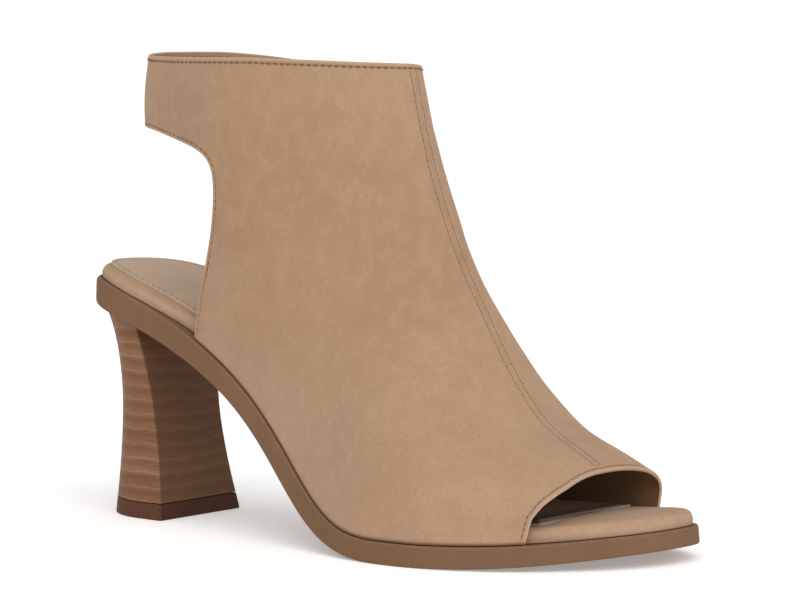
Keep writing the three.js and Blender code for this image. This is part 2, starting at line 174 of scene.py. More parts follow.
def newMaterial(name, shading):  # the material, its nodes, its shader, and the place on the object in metres
    material = bpy.data.materials.new(name)
    material.use_nodes = True
    tree = material.node_tree
    tree.nodes.clear()
    shader = addNode(tree, "BsdfPrincipled", shading)
    addNode(tree, "OutputMaterial", links={"Surface": shader})
    return material, tree, shader.node, addNode(tree, "TexCoord", output="Object")


# Coats are laid over the colour one after another, each (tone, source, factor, add) covering it by
# source * factor + add, kept between 0 and 1. Reliefs are (height, metres, strength), one on top of the other.
def coatAndRaise(tree, shader, body, coats, reliefs=()):
    for tone, source, factor, add in coats:
        cover = {"operation": "MULTIPLY_ADD", 1: factor, 2: add, "use_clamp": True}
        share = addNode(tree, "Math", cover, {0: source})
        given, linked = ({6: body}, {}) if isinstance(body, str) else ({}, {6: body})
        body = addNode(tree, "Mix", {"data_type": "RGBA", 7: tone, **given}, {0: share, **linked}, output=2)
    tree.links.new(body, shader.inputs["Base Color"])
    normal = {}
    for height, distance, strength in reliefs:
        settings = {"Distance": distance, "Strength": strength}
        normal = {"Normal": addNode(tree, "Bump", settings, {"Height": height, **normal})}
    for key, source in normal.items():
        tree.links.new(source, shader.inputs[key])


suedeLook = dict(
    # ankle is painted shade over the ankle, and low is painted light low down beside the sole.
    base="#AF8F74", insole="#C4A488", dark="#9B7A60", light="#BA9B7E", ankle="#A5846A", low="#BC9B7F",
    # rim is a painted highlight on the edges, foot a painted shadow where the suede meets the sole, and groove
    # painted shade in the sunk stitch rows and seam.
    rim="#BC9F84", foot="#5F4330", groove="#866650", sheen="#E9D2BC",
    patch=0.034, streak=0.005, fibre=0.0009, pile=0.00045,  # sizes in metres; fibres are drawn at 0.9 mm to show
)


# Suede: split cowhide, brushed, so it has no gloss, a soft bright edge where the nap is seen from the side,
# a painted highlight on its edges, and cloudy patches where fingers laid the nap one way or the other.
def suede(name, base):
    look = suedeLook
    material, tree, shader, place = newMaterial(name, {
        "Roughness": 0.92, "IOR": 1.45, "Specular IOR Level": 0.18, "Sheen Weight": 0.16, "Sheen Roughness": 0.45,
        "Sheen Tint": look["sheen"],
    })
    patch, streak, fibre, pile = (
        addNode(
            tree, "TexNoise", {"Scale": 1 / look[key], "Detail": detail, "Roughness": rough},
            {"Vector": addNode(tree, "Mapping", {"Scale": (1, 1, upright)}, {"Vector": place})},
        )
        for key, detail, upright, rough in (
            ("patch", 3, 1, 0.5), ("streak", 4, 0.75, 0.6), ("fibre", 3, 0.7, 0.7), ("pile", 2, 0.6, 0.6),
        )
    )
    groove, rim, foot = (
        addNode(tree, "Attribute", {"attribute_name": key}, output="Fac") for key in ("groove", "rim", "foot")
    )
    # Painted shade makes it a little darker over the ankle, and painted light makes it lighter low down beside the
    # sole.
    high = addNode(tree, "SeparateXYZ", links={"Vector": place}, output="Z")
    over, under = (
        addNode(tree, "Math", {"operation": "MULTIPLY_ADD", 1: factor, 2: add, "use_clamp": True}, {0: high})
        for factor, add in ((12.0, -0.55), (-18.0, 2.7))
    )
    ankle = addNode(tree, "Math", {"operation": "MINIMUM"}, {0: over, 1: under})
    # Among the coats, groove paints shade in the stitch grooves and seam, rim paints a highlight on the edges, and
    # foot paints a shadow along the sole.
    coatAndRaise(tree, shader, base, [
        (look["ankle"], ankle, 1.0, 0.0), (look["low"], high, -18.0, 0.95), (look["dark"], patch, 1.4, -0.52),
        (look["light"], streak, 1.4, -0.55), (look["dark"], fibre, 1.3, -0.5), (look["groove"], groove, 0.5, 0.0),
        (look["rim"], rim, 0.85, 0.0), (look["foot"], foot, 1.0, 0.0),
    ], [(streak, 0.0006, 0.25), (fibre, 0.00022, 0.5), (pile, 0.00012, 0.5)])
    return material


# The last tone is painted shade for the lining deep in the toe box.
liningLook = dict(base="#B6947A", cloud="#A48469", pore="#5C4838", toeShade="#86684B")


# Lining: thin finished pigskin, a little darker than the outside, smooth, with scattered pores.
def liningLeather():
    look = liningLook
    material, tree, shader, place = newMaterial(
        "lining leather", {"Roughness": 0.62, "IOR": 1.5, "Specular IOR Level": 0.3}
    )
    cloud = addNode(tree, "TexNoise", {"Scale": 50.0, "Detail": 3.0}, {"Vector": place})  # 2 cm
    pores = addNode(tree, "TexVoronoi", {"Scale": 700.0}, {"Vector": place})  # 1.4 mm apart
    toeShade = addNode(tree, "Attribute", {"attribute_name": "toeShade"}, output="Fac")  # darker over the toes
    # The attribute coat is painted shade: the lining is darker deep in the toe box.
    coatAndRaise(tree, shader, look["base"], [
        (look["cloud"], cloud, 1.8, -0.6), (look["pore"], pores, -3.0, 0.5), (look["toeShade"], toeShade, 1.0, 0.0),
    ], [(pores, 0.00012, 0.35)])
    return material


# front, toes and groove are painted shade.
sockLook = dict(base="#BC9F85", cloud="#AD9078", front="#B39683", toes="#66554A", groove="#7B6754", rim="#DCCDB9")


# Sock leather: embossed sheepskin in taupe, semi-matt, with a fine pebble grain of 0.7 mm and pale at its cut edge,
# with painted shade forward of the heel, deeper in the toe box and along its stitch row.
def sockLeather():
    look = sockLook
    material, tree, shader, place = newMaterial(
        "sock leather", {"Roughness": 0.45, "IOR": 1.5, "Specular IOR Level": 0.35}
    )
    grain = addNode(tree, "TexVoronoi", {"Scale": 1400.0}, {"Vector": place})
    cloud = addNode(tree, "TexNoise", {"Scale": 1 / 0.018, "Detail": 3.0}, {"Vector": place})  # 18 mm
    front, toes, groove, rim = (
        addNode(tree, "Attribute", {"attribute_name": key}, output="Fac")
        for key in ("front", "toes", "groove", "rim")
    )
    coatAndRaise(tree, shader, look["base"], [
        (look["cloud"], cloud, 1.8, -0.6), (look["front"], front, 1.0, 0.0), (look["toes"], toes, 1.0, 0.0),
        (look["groove"], groove, 0.5, 0.0), (look["rim"], rim, 0.6, 0.0),
    ], [(grain, 0.0001, 0.35), (cloud, 0.0006, 0.3)])
    return material


rubberLook = dict(base="#7F6047", cloud="#73563E", edge="#8F6F57", grain="#664936")


# Outsole: moulded rubber with a painted edge, even brown with a low satin gloss, faint flow marks and a grain
# of 1.2 mm.
def soleRubber():
    look = rubberLook
    material, tree, shader, place = newMaterial(
        "outsole rubber", {"Roughness": 0.75, "IOR": 1.52, "Specular IOR Level": 0.14}
    )
    cloud = addNode(tree, "TexNoise", {"Scale": 1 / 0.03, "Detail": 2.0}, {"Vector": place})  # 3 cm
    grain = addNode(tree, "TexNoise", {"Scale": 1 / 0.0012, "Detail": 3.0, "Roughness": 0.6}, {"Vector": place})
    edge = addNode(tree, "Attribute", {"attribute_name": "edge"}, output="Fac")
    coatAndRaise(tree, shader, look["base"], [
        (look["cloud"], cloud, 1.8, -0.6), (look["edge"], edge, 0.35, 0.0), (look["grain"], grain, 0.8, -0.35),
    ], [(grain, 0.00008, 0.4)])
    return material


stackLook = dict(
    lift=0.0046, wave=0.0052, ripple=0.0016,  # metres
    layer=[
        (0.0, "#A27B5E"), (0.07, "#916A4E"), (0.4, "#8A6246"), (0.62, "#7F583D"), (0.84, "#896145"),
        (0.95, "#926B4F"), (1.0, "#A27B5E"),
    ],
    # breast and crown are painted shade, on the flat front and on the top right under the sole.
    tone="#603E24", fibre="#573722", breast="#5C402C", crown="#805F46",
)


# Heel: stacked leather, sanded and waxed: lifts about 4.6 mm thick, each with a pale glue line above a
# darker core, all slightly wavy; painted shade darkens its flat front and its top, right under the sole.
def stackedLeather():
    look = stackLook
    material, tree, shader, place = newMaterial(
        "stacked leather", {"Roughness": 0.55, "IOR": 1.5, "Specular IOR Level": 0.15}
    )
    wide, small, fibre = (
        addNode(
            tree, "TexNoise", {"Scale": 1 / size, "Detail": detail, "Roughness": rough},
            {"Vector": addNode(tree, "Mapping", {"Scale": stretch}, {"Vector": place})},
        )
        for size, detail, stretch, rough in (  # waves of 21 mm, ripples of 6 mm, fibres that run along the lifts
            (0.021, 2.0, (1, 1, 0.5), 0.5), (0.006, 3.0, (1, 1, 1.2), 0.5), (0.0022, 4.0, (0.35, 0.35, 3.5), 0.65),
        )
    )
    # layer = (z + wave * wide + ripple * small) / lift; its fraction is the place within a lift
    layer = addNode(tree, "SeparateXYZ", links={"Vector": place}, output="Z")
    for source, reach in ((wide, look["wave"]), (small, look["ripple"])):
        layer = addNode(tree, "Math", {"operation": "MULTIPLY_ADD", 1: reach}, {0: source, 2: layer})
    layer = addNode(tree, "Math", {"operation": "DIVIDE", 1: look["lift"]}, {0: layer})
    within, number = (
        addNode(tree, "Math", {"operation": part}, {0: layer}) for part in ("FRACT", "FLOOR")
    )
    tone = addNode(tree, "TexWhiteNoise", {"noise_dimensions": "1D"}, {"W": number})
    body = addNode(tree, "ValToRGB", links={"Fac": within}, stops=look["layer"])
    breast, crown = (
        addNode(tree, "Attribute", {"attribute_name": key}, output="Fac") for key in ("breast", "crown")
    )
    coatAndRaise(tree, shader, body, [
        (look["tone"], tone, 0.34, 0.0), (look["fibre"], fibre, 1.6, -0.75), (look["breast"], breast, 0.62, 0.0),
        (look["crown"], crown, 1.0, 0.0),
    ], [(within, 0.00012, 0.15), (fibre, 0.0001, 0.3)])
    return material


# breast is painted shade on the flat front.
tipLook = dict(base="#613E2E", grain="#4A2D20", breast="#2E1C13")


# Top piece: hard moulded rubber, dark brown, scuff-dull, with a grain of 1 mm, and painted shade on its flat front.
def tipRubber():
    look = tipLook
    material, tree, shader, place = newMaterial(
        "top piece rubber", {"Roughness": 0.6, "IOR": 1.52, "Specular IOR Level": 0.12}
    )
    grain = addNode(tree, "TexNoise", {"Scale": 1000.0, "Detail": 3.0}, {"Vector": place})
    breast = addNode(tree, "Attribute", {"attribute_name": "breast"}, output="Fac")
    coatAndRaise(tree, shader, look["base"], [
        (look["grain"], grain, 1.6, -0.5), (look["breast"], breast, 0.45, 0.0),
    ], [(grain, 0.00008, 0.35)])
    return material


# hole is the dark of the needle holes, painted shade.
threadLook = dict(tan="#A98868", brown="#80604A", pale="#C9B596", hole="#5F4733", shade="#5A4333")


# Thread: twisted polyester with a soft gloss, its twist drawn as a fine unevenness of 0.3 mm.
def thread(name, tone):
    material, tree, shader, place = newMaterial(name, {"Roughness": 0.6, "IOR": 1.5, "Specular IOR Level": 0.3})
    twist = addNode(tree, "TexNoise", {"Scale": 1 / 0.0003, "Detail": 1.0}, {"Vector": place})
    coatAndRaise(tree, shader, tone, [(threadLook["shade"], twist, 0.9, -0.3)], [(twist, 0.00006, 0.5)])
    return material


looks = SimpleNamespace(
    suede=suede("brushed suede", suedeLook["base"]),
    padSuede=suede("insole suede", suedeLook["insole"]),
    lining=liningLeather(),
    sock=sockLeather(),
    rubber=soleRubber(),
    stack=stackedLeather(),
    tip=tipRubber(),
    tanThread=thread("tan thread", threadLook["tan"]),
    brownThread=thread("brown thread", threadLook["brown"]),
    paleThread=thread("pale thread", threadLook["pale"]),
    hole=thread("needle hole", threadLook["hole"]),
)
print("materials made")


sole = dict(
    length=223.6, start=1.2, ballWidth=83.2, thickness=7.0, seatRise=68.8, toeSpring=5.3, heelEnd=32.0,
    heelPower=2.0, toeEnd=36.0, toePower=2.35, corner=0.7, backCorner=2.0, backInset=0.4, stations=190, across=9,
)
plan = smoothTable(["centre", "half"], [  # share of the length; centre line and half width in ball widths
    [0, 0, 0.262], [0.12, 0, 0.3], [0.25, 0.0048, 0.3101], [0.38, -0.0096, 0.3173], [0.5, -0.0312, 0.3942],
    [0.62, -0.0433, 0.4832], [0.72, -0.0361, 0.5], [0.82, 0.012, 0.4639], [0.91, 0.0889, 0.3882], [1, 0.1743, 0.3185],
])
profile = smoothTable(["seat", "toe"], [  # share of the length; rise in seat rises and in toe springs
    [0, 1, 0], [0.07, 0.9869, 0], [0.15, 0.9259, 0], [0.25, 0.7936, 0], [0.35, 0.6003, 0], [0.45, 0.343, 0],
    [0.55, 0.093, 0], [0.61, 0.0174, 0], [0.66, 0, 0], [0.7, -0.0022, 0], [0.74, 0, 0], [0.87, 0, 0.283], [1, 0, 1],
])
soleShape = smoothTable(["thick"], [  # share of the length; thickness in whole ones: the seat is thicker
    [0, 1.25], [0.1, 1.25], [0.2, 1.19], [0.3, 1.08], [0.4, 1], [0.55, 1], [0.72, 1], [0.8, 0.985], [0.87, 0.94],
    [0.94, 0.89], [1, 0.83],
])


def shareAt(x):
    return (x - sole["start"]) / sole["length"]


def thicknessAt(s):
    return sole["thickness"] * soleShape.thick(s)


def heightAt(x):  # thickness(s) + max(seatRise seat(s) + toeSpring toe(s), 0)
    s = shareAt(x)
    return thicknessAt(s) + np.maximum(sole["seatRise"] * profile.seat(s) + sole["toeSpring"] * profile.toe(s), 0)


def slopeAt(x):
    return np.arctan((heightAt(x + 0.05) - heightAt(x - 0.05)) / 0.1)


def lift(x, y, e):  # the point e above the sole's top, square to it: (x - e sin a, y, height + e cos a)
    a = slopeAt(x)
    return np.stack(np.broadcast_arrays(x - e * np.sin(a), y, heightAt(x) + e * np.cos(a)), -1)


def roundOff(x):  # (1 - a^p)^(1/p) at each end, a going from 0 to 1 over the end's length
    a = np.clip(1 - (x - sole["start"]) / sole["heelEnd"], 0, 1)
    b = np.clip(1 - (sole["start"] + sole["length"] - x) / sole["toeEnd"], 0, 1)
    atHeel = np.maximum(1 - a ** sole["heelPower"], 0) ** (1 / sole["heelPower"])
    atToe = np.maximum(1 - b ** sole["toePower"], 0) ** (1 / sole["toePower"])
    return atHeel * atToe


def outlinePoint(f, side):  # x = start + length (1 - cos f) / 2, y = ball width (centre + side half roundOff)
    share = (1 - np.cos(f)) / 2
    x = sole["start"] + sole["length"] * share
    turned = np.where(np.sin(f) < 0, -side, side)
    return np.stack([x, sole["ballWidth"] * (plan.centre(share) + turned * plan.half(share) * roundOff(x))], -1)


def insetPoint(f, side, inset):  # the outline's point moved in by inset, square to the outline
    t = outlinePoint(f + 1e-3, side) - outlinePoint(f - 1e-3, side)
    t = t / np.linalg.norm(t, axis=-1, keepdims=True)
    p = outlinePoint(f, side)
    return np.stack([p[..., 0] + side * inset * t[..., 1], p[..., 1] - side * inset * t[..., 0]], -1)


def edgeAt(x, side, inset):  # y of the inset outline at x
    p = insetPoint(np.linspace(0.1, np.pi - 0.1, 4001), side, inset)
    return np.interp(x, p[:, 0], p[:, 1])


# A layer that follows the sole, as one skin: at every station a loop goes under the layer, up its inner side
# through the rings, over its top and down the other side. A ring is (inset(s), height(s, v)), v from -1 to 1
# across. Also gives back each station's share of the length and the ring that each point of a loop is on.
def soleLayer(rings, stations, across, lastAngle=np.pi, innerAngle=None):
    f = np.linspace(0, lastAngle, stations + 1)
    g = f * (innerAngle or lastAngle) / lastAngle
    share = (1 - np.cos(f)) / 2
    under, top, last = np.linspace(-1, 1, across + 1), np.linspace(1, -1, across + 1), len(rings) - 1
    stops = [(0, v) for v in under] + [(k, 1.0) for k in range(1, last)]
    stops += [(last, v) for v in top] + [(k, -1.0) for k in range(last - 1, 0, -1)]
    loop = []
    for k, v in stops:
        inset, height = rings[k]
        p, q = insetPoint(f, -1, inset(share)), insetPoint(g, 1, inset((1 - np.cos(g)) / 2))
        at = p + (q - p) * (v + 1) / 2
        loop.append(lift(at[:, 0], at[:, 1], height(shareAt(at[:, 0]), v)))
    points = np.stack(loop, 1)
    return points, numbered(points), share, np.array([k for k, v in stops])


# Rings round the quarter circle between a layer's side and its top: inset = side + r (1 - cos a) and height =
# level - r (1 - sin a). At the lower corner inset = side + r (1 - sin a) and height = level + r (1 - cos a).
def cornerRings(count, side, level, radius, lower=False):
    rings = []
    for a in np.linspace(0, np.pi / 2, count):
        out, up, sign = (np.sin(a), np.cos(a), 1) if lower else (np.cos(a), np.sin(a), -1)
        rings.append((
            lambda s, out=out: side(s) + radius(s) * (1 - out),
            lambda s, v, up=up, sign=sign: level(s, v) + sign * radius(s) * (1 - up),
        ))
    return rings


def makeOutsole():
    def corner(s):  # rounder at the very back
        return sole["corner"] + (sole["backCorner"] - sole["corner"]) * (1 - smoothStep(0, 0.08, s))

    def backInset(s):
        return sole["backInset"] * (1 - smoothStep(0, 0.06, s))

    rings = cornerRings(6, backInset, lambda s, v: -thicknessAt(s), corner, lower=True)
    for k in (0.2, 0.4, 0.6, 0.8):
        rings.append((backInset, lambda s, v, k=k: -corner(s) - (thicknessAt(s) - 2 * corner(s)) * (1 - k)))
    rings += cornerRings(6, backInset, lambda s, v: 0 * s, corner)
    points, index, _, ring = soleLayer(rings, sole["stations"], sole["across"])
    upperCorner = (ring > len(rings) - 6) & (ring < len(rings) - 1)
    edge = upperCorner + np.zeros(index.shape)  # a paler line
    piece = makePiece("sole_unit", points, gridFaces(wrapped(index)), [looks.rubber], marks={"edge": edge}, sharp=50)
    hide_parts("outsole")


insole = dict(
    base=0.3, seat=0.06, thickness=5.3, corner=0.5, fold=2.3, inset=3.7, swell=0.12, crown=0.5, toeCrown=0.35,
    toeStep=0.1, stations=170, across=22,
)
insoleShape = smoothTable(["inset", "thick"], [  # share of the length; insets and thicknesses in whole ones
    [0, 0.7, 0.65], [0.07, 0.42, 0.67], [0.13, 0.3, 0.67], [0.19, 0.48, 0.69], [0.24, 0.93, 0.75], [0.32, 1, 0.8113],
    [0.5, 1, 0.8113], [0.7, 1, 0.8679], [0.84, 1, 0.9], [0.89, 0.9, 0.9], [0.94, 0.55, 0.88], [1, 0.42, 0.84],
])


def insoleSide(s):
    return insole["inset"] * insoleShape.inset(s)


def insoleTop(s, v=0.0):  # its thickness, and a crown across it, c (1 - v^2), which is flatter under the toes
    toes = smoothStep(0.895, 0.93, s)
    crown = insole["crown"] + (insole["toeCrown"] - insole["crown"]) * toes
    flatTop = insole["base"] + insole["thickness"] * insoleShape.thick(s)
    return flatTop + crown * (1 - v**2) - insole["toeStep"] * (1 - toes)


def makeInsole():
    base, corner, fold = insole["base"], insole["corner"], insole["fold"]
    rings = cornerRings(5, insoleSide, lambda s, v: insole["seat"] + 0 * s, lambda s: corner, lower=True)
    for k in (0.33, 0.66):  # the side swells a little between its corners
        rings.append((
            lambda s: insoleSide(s) - insole["swell"],
            lambda s, v, k=k: base + corner + (insoleTop(s) - fold - base - corner) * k,
        ))
    rings += cornerRings(9, insoleSide, insoleTop, lambda s: fold)
    points, index, _, ring = soleLayer(rings, insole["stations"], insole["across"])
    # The foot mark is a painted shadow, dark along the insole's foot where it meets the sole.
    foot = np.interp(ring, range(5), [1, 0.8, 0.45, 0.1, 0]) + np.zeros(index.shape)  # dark where it meets the sole
    piece = makePiece(
        "insole_pad", points, gridFaces(wrapped(index)), [looks.padSuede], marks={"foot": foot}, sharp=60
    )
    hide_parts("insole")


sock = dict(
    gap=0.02, thickness=0.75, inset=5.9, toToe=24.3, setBack=2.0, slant=8.0, edge=0.35, stitch=1.5, stations=150,
    across=8,
)
sockShape = smoothTable(["inset"], [
    [0, 0.8], [0.06, 0.87], [0.12, 0.97], [0.22, 1.15], [0.3, 1.2], [0.6, 1.2], [0.8, 1.25], [1, 1.3],
])
sockAngle, sockInner = (  # the angles f at which its front ends on the outer and on the inner side
    float(np.arccos(1 - 2 * (1 - reach / sole["length"])))
    for reach in (sock["toToe"] - sock["setBack"], sock["toToe"] + sock["slant"])
)


def sockSide(s):
    return sock["inset"] * sockShape.inset(s)


def sockTop(s, v, inset=0.0):  # on the insole's top; sunk along the stitch row, a little full inside it
    flatTop = insole["base"] + insole["thickness"] * insoleShape.thick(s) + sock["gap"] + sock["thickness"]
    return flatTop + 0.2 * smoothStep(2.2, 9, inset) - 0.22 * bell(inset, sock["stitch"], 0.5)


def makeSock():
    under = insole["base"] + sock["gap"]
    rings = [(sockSide, lambda s, v: under + insole["thickness"] * insoleShape.thick(s))]
    rings += cornerRings(5, sockSide, sockTop, lambda s: sock["edge"])
    steps = [0.8, 1.1, 1.4, 1.7, 2.0, 2.3, 2.7, 3.4, 4.6, 6.5, 9.0]  # mm in from the edge
    inFromEdge = np.array([0.0] * len(rings) + steps)
    onTop = len(rings)
    for d in steps:
        rings.append((lambda s, d=d: sockSide(s) + d, lambda s, v, d=d: sockTop(s, v, d)))
    points, index, share, ring = soleLayer(rings, sock["stations"], sock["across"], sockAngle, sockInner)
    even = np.zeros(index.shape)  # spreads a value over all the points
    # Painted shade: a little darker forward of the heel, dark in the toe box, and darker along the sunk stitch row.
    marks = {
        "groove": np.where(ring >= onTop, bell(inFromEdge[ring], sock["stitch"], 0.45), 0) + even,
        "rim": np.where((ring > 0) & (ring < 4), 0.3, 0) + even,
        "front": smoothStep(0.3, 0.4, share)[:, None] + even,  # forward of the heel
        "toes": smoothStep(0.82, 0.89, share)[:, None] + even,
    }
    marks["rim"][-1] = 0.8
    # The front end is cut straight, and closed by a fan from its middle, which is the last point.
    last, hub = np.append(index[-1], index[-1, 0]), index.size
    fan = np.stack([last[:-1], last[1:], np.full(len(last) - 1, hub)], -1)
    atHub = {"groove": 0, "rim": 0, "front": 1, "toes": 1}
    piece = makePiece(
        "sock_sheet", np.concatenate([points.reshape(-1, 3), points[-1].mean(0)[None]]),
        np.array(gridFaces(wrapped(index)).tolist() + fan.tolist(), object), [looks.sock],
        marks={key: np.append(values, atHub[key]) for key, values in marks.items()}, sharp=60,
    )
    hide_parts("sock_lining")


makeOutsole()
makeInsole()
makeSock()
print("sole, insole and sock made")


heel = dict(
    length=31.5, width=42.8, tipHeight=5.2, gap=0.3, clearance=0.4, tipCorner=0.5, tipDraw=0.12, edge=0.7,
    liftHeight=4.6, glueDepth=0.05, stations=92,
)
heelShape = smoothTable(["breast", "half", "back", "straight"], [  # share of the height; heel lengths and widths
    [0, 1.3016, 0.4579, 0.3079, 0.2698], [0.15, 1.2476, 0.4206, 0.3397, 0.254], [0.3, 1.1968, 0.3949, 0.3683, 0.2381],
    [0.45, 1.146, 0.3808, 0.3905, 0.2222], [0.6, 1.1016, 0.3832, 0.4032, 0.2063],
    [0.75, 1.0635, 0.4112, 0.3968, 0.1905], [0.87, 1.0381, 0.4509, 0.3683, 0.1746],
    [0.95, 1.0159, 0.4813, 0.3143, 0.1587], [1, 1, 0.5, 0.2635, 0.1587],
])
endRings = np.array([0.0, 0.3, 0.6, 0.85])  # sizes of the rings that close an end, from its middle out
breastColumns = slice(40, 68)  # which of a section's points go from one breast corner over the flat to the other


def underside(x):  # z of the outsole's underside at x, found by stepping back along the slope
    at = x
    for _ in range(12):  # each round comes nearer to the x whose underside lies at x
        at = x - thicknessAt(shareAt(at)) * np.sin(slopeAt(at))
    return heightAt(at) - thicknessAt(shareAt(at)) * np.cos(slopeAt(at))


heelHeight = float(underside(np.float64(heel["length"] / 2)))


# The D section at shares of the height: a quarter ellipse from the back to each side, x = start - reach cos a and
# y = half sin a, straight on to a small round corner, and across the flat breast. shrink draws it in all round.
def heelSection(share, shrink=0.0):
    share, shrink = np.asarray(share, float)[:, None], np.asarray(shrink, float).reshape(-1, 1)
    breast = heel["length"] * heelShape.breast(share) - shrink
    half = heel["width"] * heelShape.half(share) - shrink
    start = breast - heel["length"] * heelShape.straight(share) + shrink
    reach = start - heel["length"] * heelShape.back(share) - shrink
    edge = heel["edge"]
    a = np.linspace(0, np.pi / 2, 33)[None, :]
    k = np.linspace(0, 1, 7)[None, 1:]
    c = np.linspace(0, np.pi / 2, 5)[None, 1:]
    w = np.linspace(0, 1, 13)[None, 1:]
    x = np.concatenate([
        start - reach * np.cos(a), start + (breast - edge - start) * k, breast - edge + edge * np.sin(c),
        breast + 0 * w,
    ], 1)
    y = np.concatenate([
        half * np.sin(a), half + 0 * k, half - edge + edge * np.cos(c), (half - edge) * (1 - w),
    ], 1)
    # The other side is the same run backwards, with y turned.
    return np.concatenate([x, x[:, -2:0:-1]], 1), np.concatenate([y, -y[:, -2:0:-1]], 1)


# Full sections with both ends drawn in to a point, so the ends are closed by rings that follow the end's shape:
# x = middle + draw (x - middle), y = draw y. level(x, i) is the height of ring i at x.
def heelSkin(share, shrink, level, draw):
    x, y = heelSection(share, shrink)
    middle = (x.min(1, keepdims=True) + x.max(1, keepdims=True)) / 2
    x, y = middle + (x - middle) * draw[:, None], y * draw[:, None]
    return np.stack([x, y, level(x, np.arange(len(share))[:, None])], -1)


def makeHeel():
    base = heel["tipHeight"] + heel["gap"]
    t = np.concatenate([0 * endRings, np.linspace(0, 1, heel["stations"]), 1 + 0 * endRings])
    draw = np.concatenate([endRings, np.ones(heel["stations"]), endRings[::-1]])
    share = base / heelHeight + (1 - base / heelHeight) * t
    lifts = (base + (heelHeight - base) * t) / heel["liftHeight"]
    groove = heel["glueDepth"] * bell(lifts - np.round(lifts), 0, 0.07)  # each glue line is a hair lower
    points = heelSkin(
        share, groove * (draw == 1), lambda x, i: base + (underside(x) - heel["clearance"] - base) * t[i], draw
    )
    index = numbered(points)
    # Painted shade on the top band right under the sole, and on the flat front.
    crown = smoothStep(0.955, 0.972, t)[:, None] + np.zeros(index.shape)  # the top of it, right under the sole
    breast = np.zeros(index.shape)
    breast[:, breastColumns] = 1
    piece = makePiece(
        "heel_block", points, gridFaces(wrapped(index)), [looks.stack], marks={"crown": crown, "breast": breast},
        sharp=45,
    )
    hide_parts("heel")


def makeTip():
    corner, top = heel["tipCorner"], heel["tipHeight"]
    turn = np.linspace(0, np.pi / 2, 5)
    closed = 0 * endRings
    z = np.concatenate([closed, corner * (1 - np.cos(turn)), [top * 0.5, top - 0.15, top], top + closed])
    shrink = np.concatenate([
        corner + closed, corner * (1 - np.sin(turn)), [0, 0, heel["tipDraw"]], heel["tipDraw"] + closed,
    ])
    draw = np.concatenate([endRings, np.ones(len(z) - 2 * len(endRings)), endRings[::-1]])
    points = heelSkin(z / heelHeight, shrink, lambda x, i: z[i] + 0 * x, draw)
    index = numbered(points)
    # Painted shade on the top piece's flat front.
    breast = np.zeros(index.shape)
    breast[:, breastColumns] = 1
    piece = makePiece("heel_tip", points, gridFaces(wrapped(index)), [looks.tip], marks={"breast": breast}, sharp=45)
    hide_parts("top_piece")


makeHeel()
makeTip()
print("heel made")


# The upper's sections are planes square to the side view, numbered from the toe: rows 0 to 8 end on the sole,
# 8 to 13 on the edge of the heel opening, 13 to 15 go round the ankle. x and lengths are in sole lengths, z in
# collar heights, widths of the foot in ball widths.
upper = dict(
    wall=2.0, thinWall=1.1, inset=0.7, base=0.3, collarHeight=150.4, ankleWidth=64.8, footRow=8.0, borderRow=13.0,
    collarRow=15.0, bandLean=0.0054, leanStart=0.1565, rimBulge=0.32, footBulge=0.12, rimSteps=6, seamStitch=1.5,
    collarStitch=1.3, openingStitch=1.0, toeStitch=1.35, cutRows=3.0, fadeRows=3.0, footRowLength=17.0,
    openRowLength=12.0,
)
ridge = smoothTable(["x", "z", "y"], [
    [0, 0.8976, 0.1908, 0.0601], [1, 0.8497, 0.2327, 0.0505], [2, 0.805, 0.2753, 0.0421],
    [3, 0.7621, 0.3497, 0.0349], [4, 0.7317, 0.4202, 0.0288], [5, 0.7048, 0.49, 0.024], [6, 0.6798, 0.5545, 0.0192],
    [7, 0.6588, 0.617, 0.0156], [8, 0.6418, 0.6769, 0.012], [9, 0.6279, 0.734, 0.0084],
    [10, 0.6167, 0.7859, 0.0048], [11, 0.6096, 0.8271, 0.0024], [12, 0.6042, 0.857, 0.0012],
    [13, 0.6015, 0.8743, 0], [14, 0.5917, 0.9375, 0], [15, 0.5809, 0.9993, 0],
])
feather = smoothTable(["outer", "inner", "bow"], [
    [0, 0.885, 0.8846, 0.0067], [1, 0.825, 0.8269, 0.0031], [2, 0.7576, 0.7607, 0.0009], [3, 0.6798, 0.6798, 0],
    [4, 0.597, 0.597, 0], [5, 0.5165, 0.5165, 0], [6, 0.436, 0.436, 0], [7, 0.3555, 0.3555, 0],
    [8, 0.2701, 0.2701, 0],
])
heelOpening = smoothTable(["x", "rise"], [
    [8, 0.2701, 0], [9, 0.2871, 0.1642], [10, 0.314, 0.3526], [11, 0.3274, 0.53], [12, 0.3131, 0.663],
    [13, 0.2415, 0.7229],
])
shape = smoothTable(["depth", "power"], [
    [0, 0.0581, 2.5], [1, 0.0827, 2.4], [2, 0.114, 2.3], [3, 0.1655, 2.2], [4, 0.2013, 2.12], [5, 0.2214, 2.12],
    [6, 0.2303, 2.12], [7, 0.2437, 2.12], [8, 0.2572, 2.1], [9, 0.2616, 2.04], [10, 0.2625, 1.96], [11, 0.2621, 1.88],
    [12, 0.2612, 1.82], [13, 0.2589, 1.78], [14, 0.25, 1.73], [15, 0.2366, 1.7],
])
overhang = smoothTable(["bulge"], [[0, 0.002], [2, 0.004], [4, 0.0096], [6, 0.0265], [8, 0.0433]])
ankle = smoothTable(["half", "rear"], [
    [8, 0.4568, 0.2862], [9, 0.4583, 0.2504], [10, 0.4614, 0.2303], [11.5, 0.4707, 0.2263], [13, 0.4815, 0.2343],
    [15, 0.5, 0.2236],
])
bandEdge = smoothTable(["rise"], [[0.0984, 0.0126], [0.1386, 0.0126], [0.1968, 0.01], [0.2415, 0]])
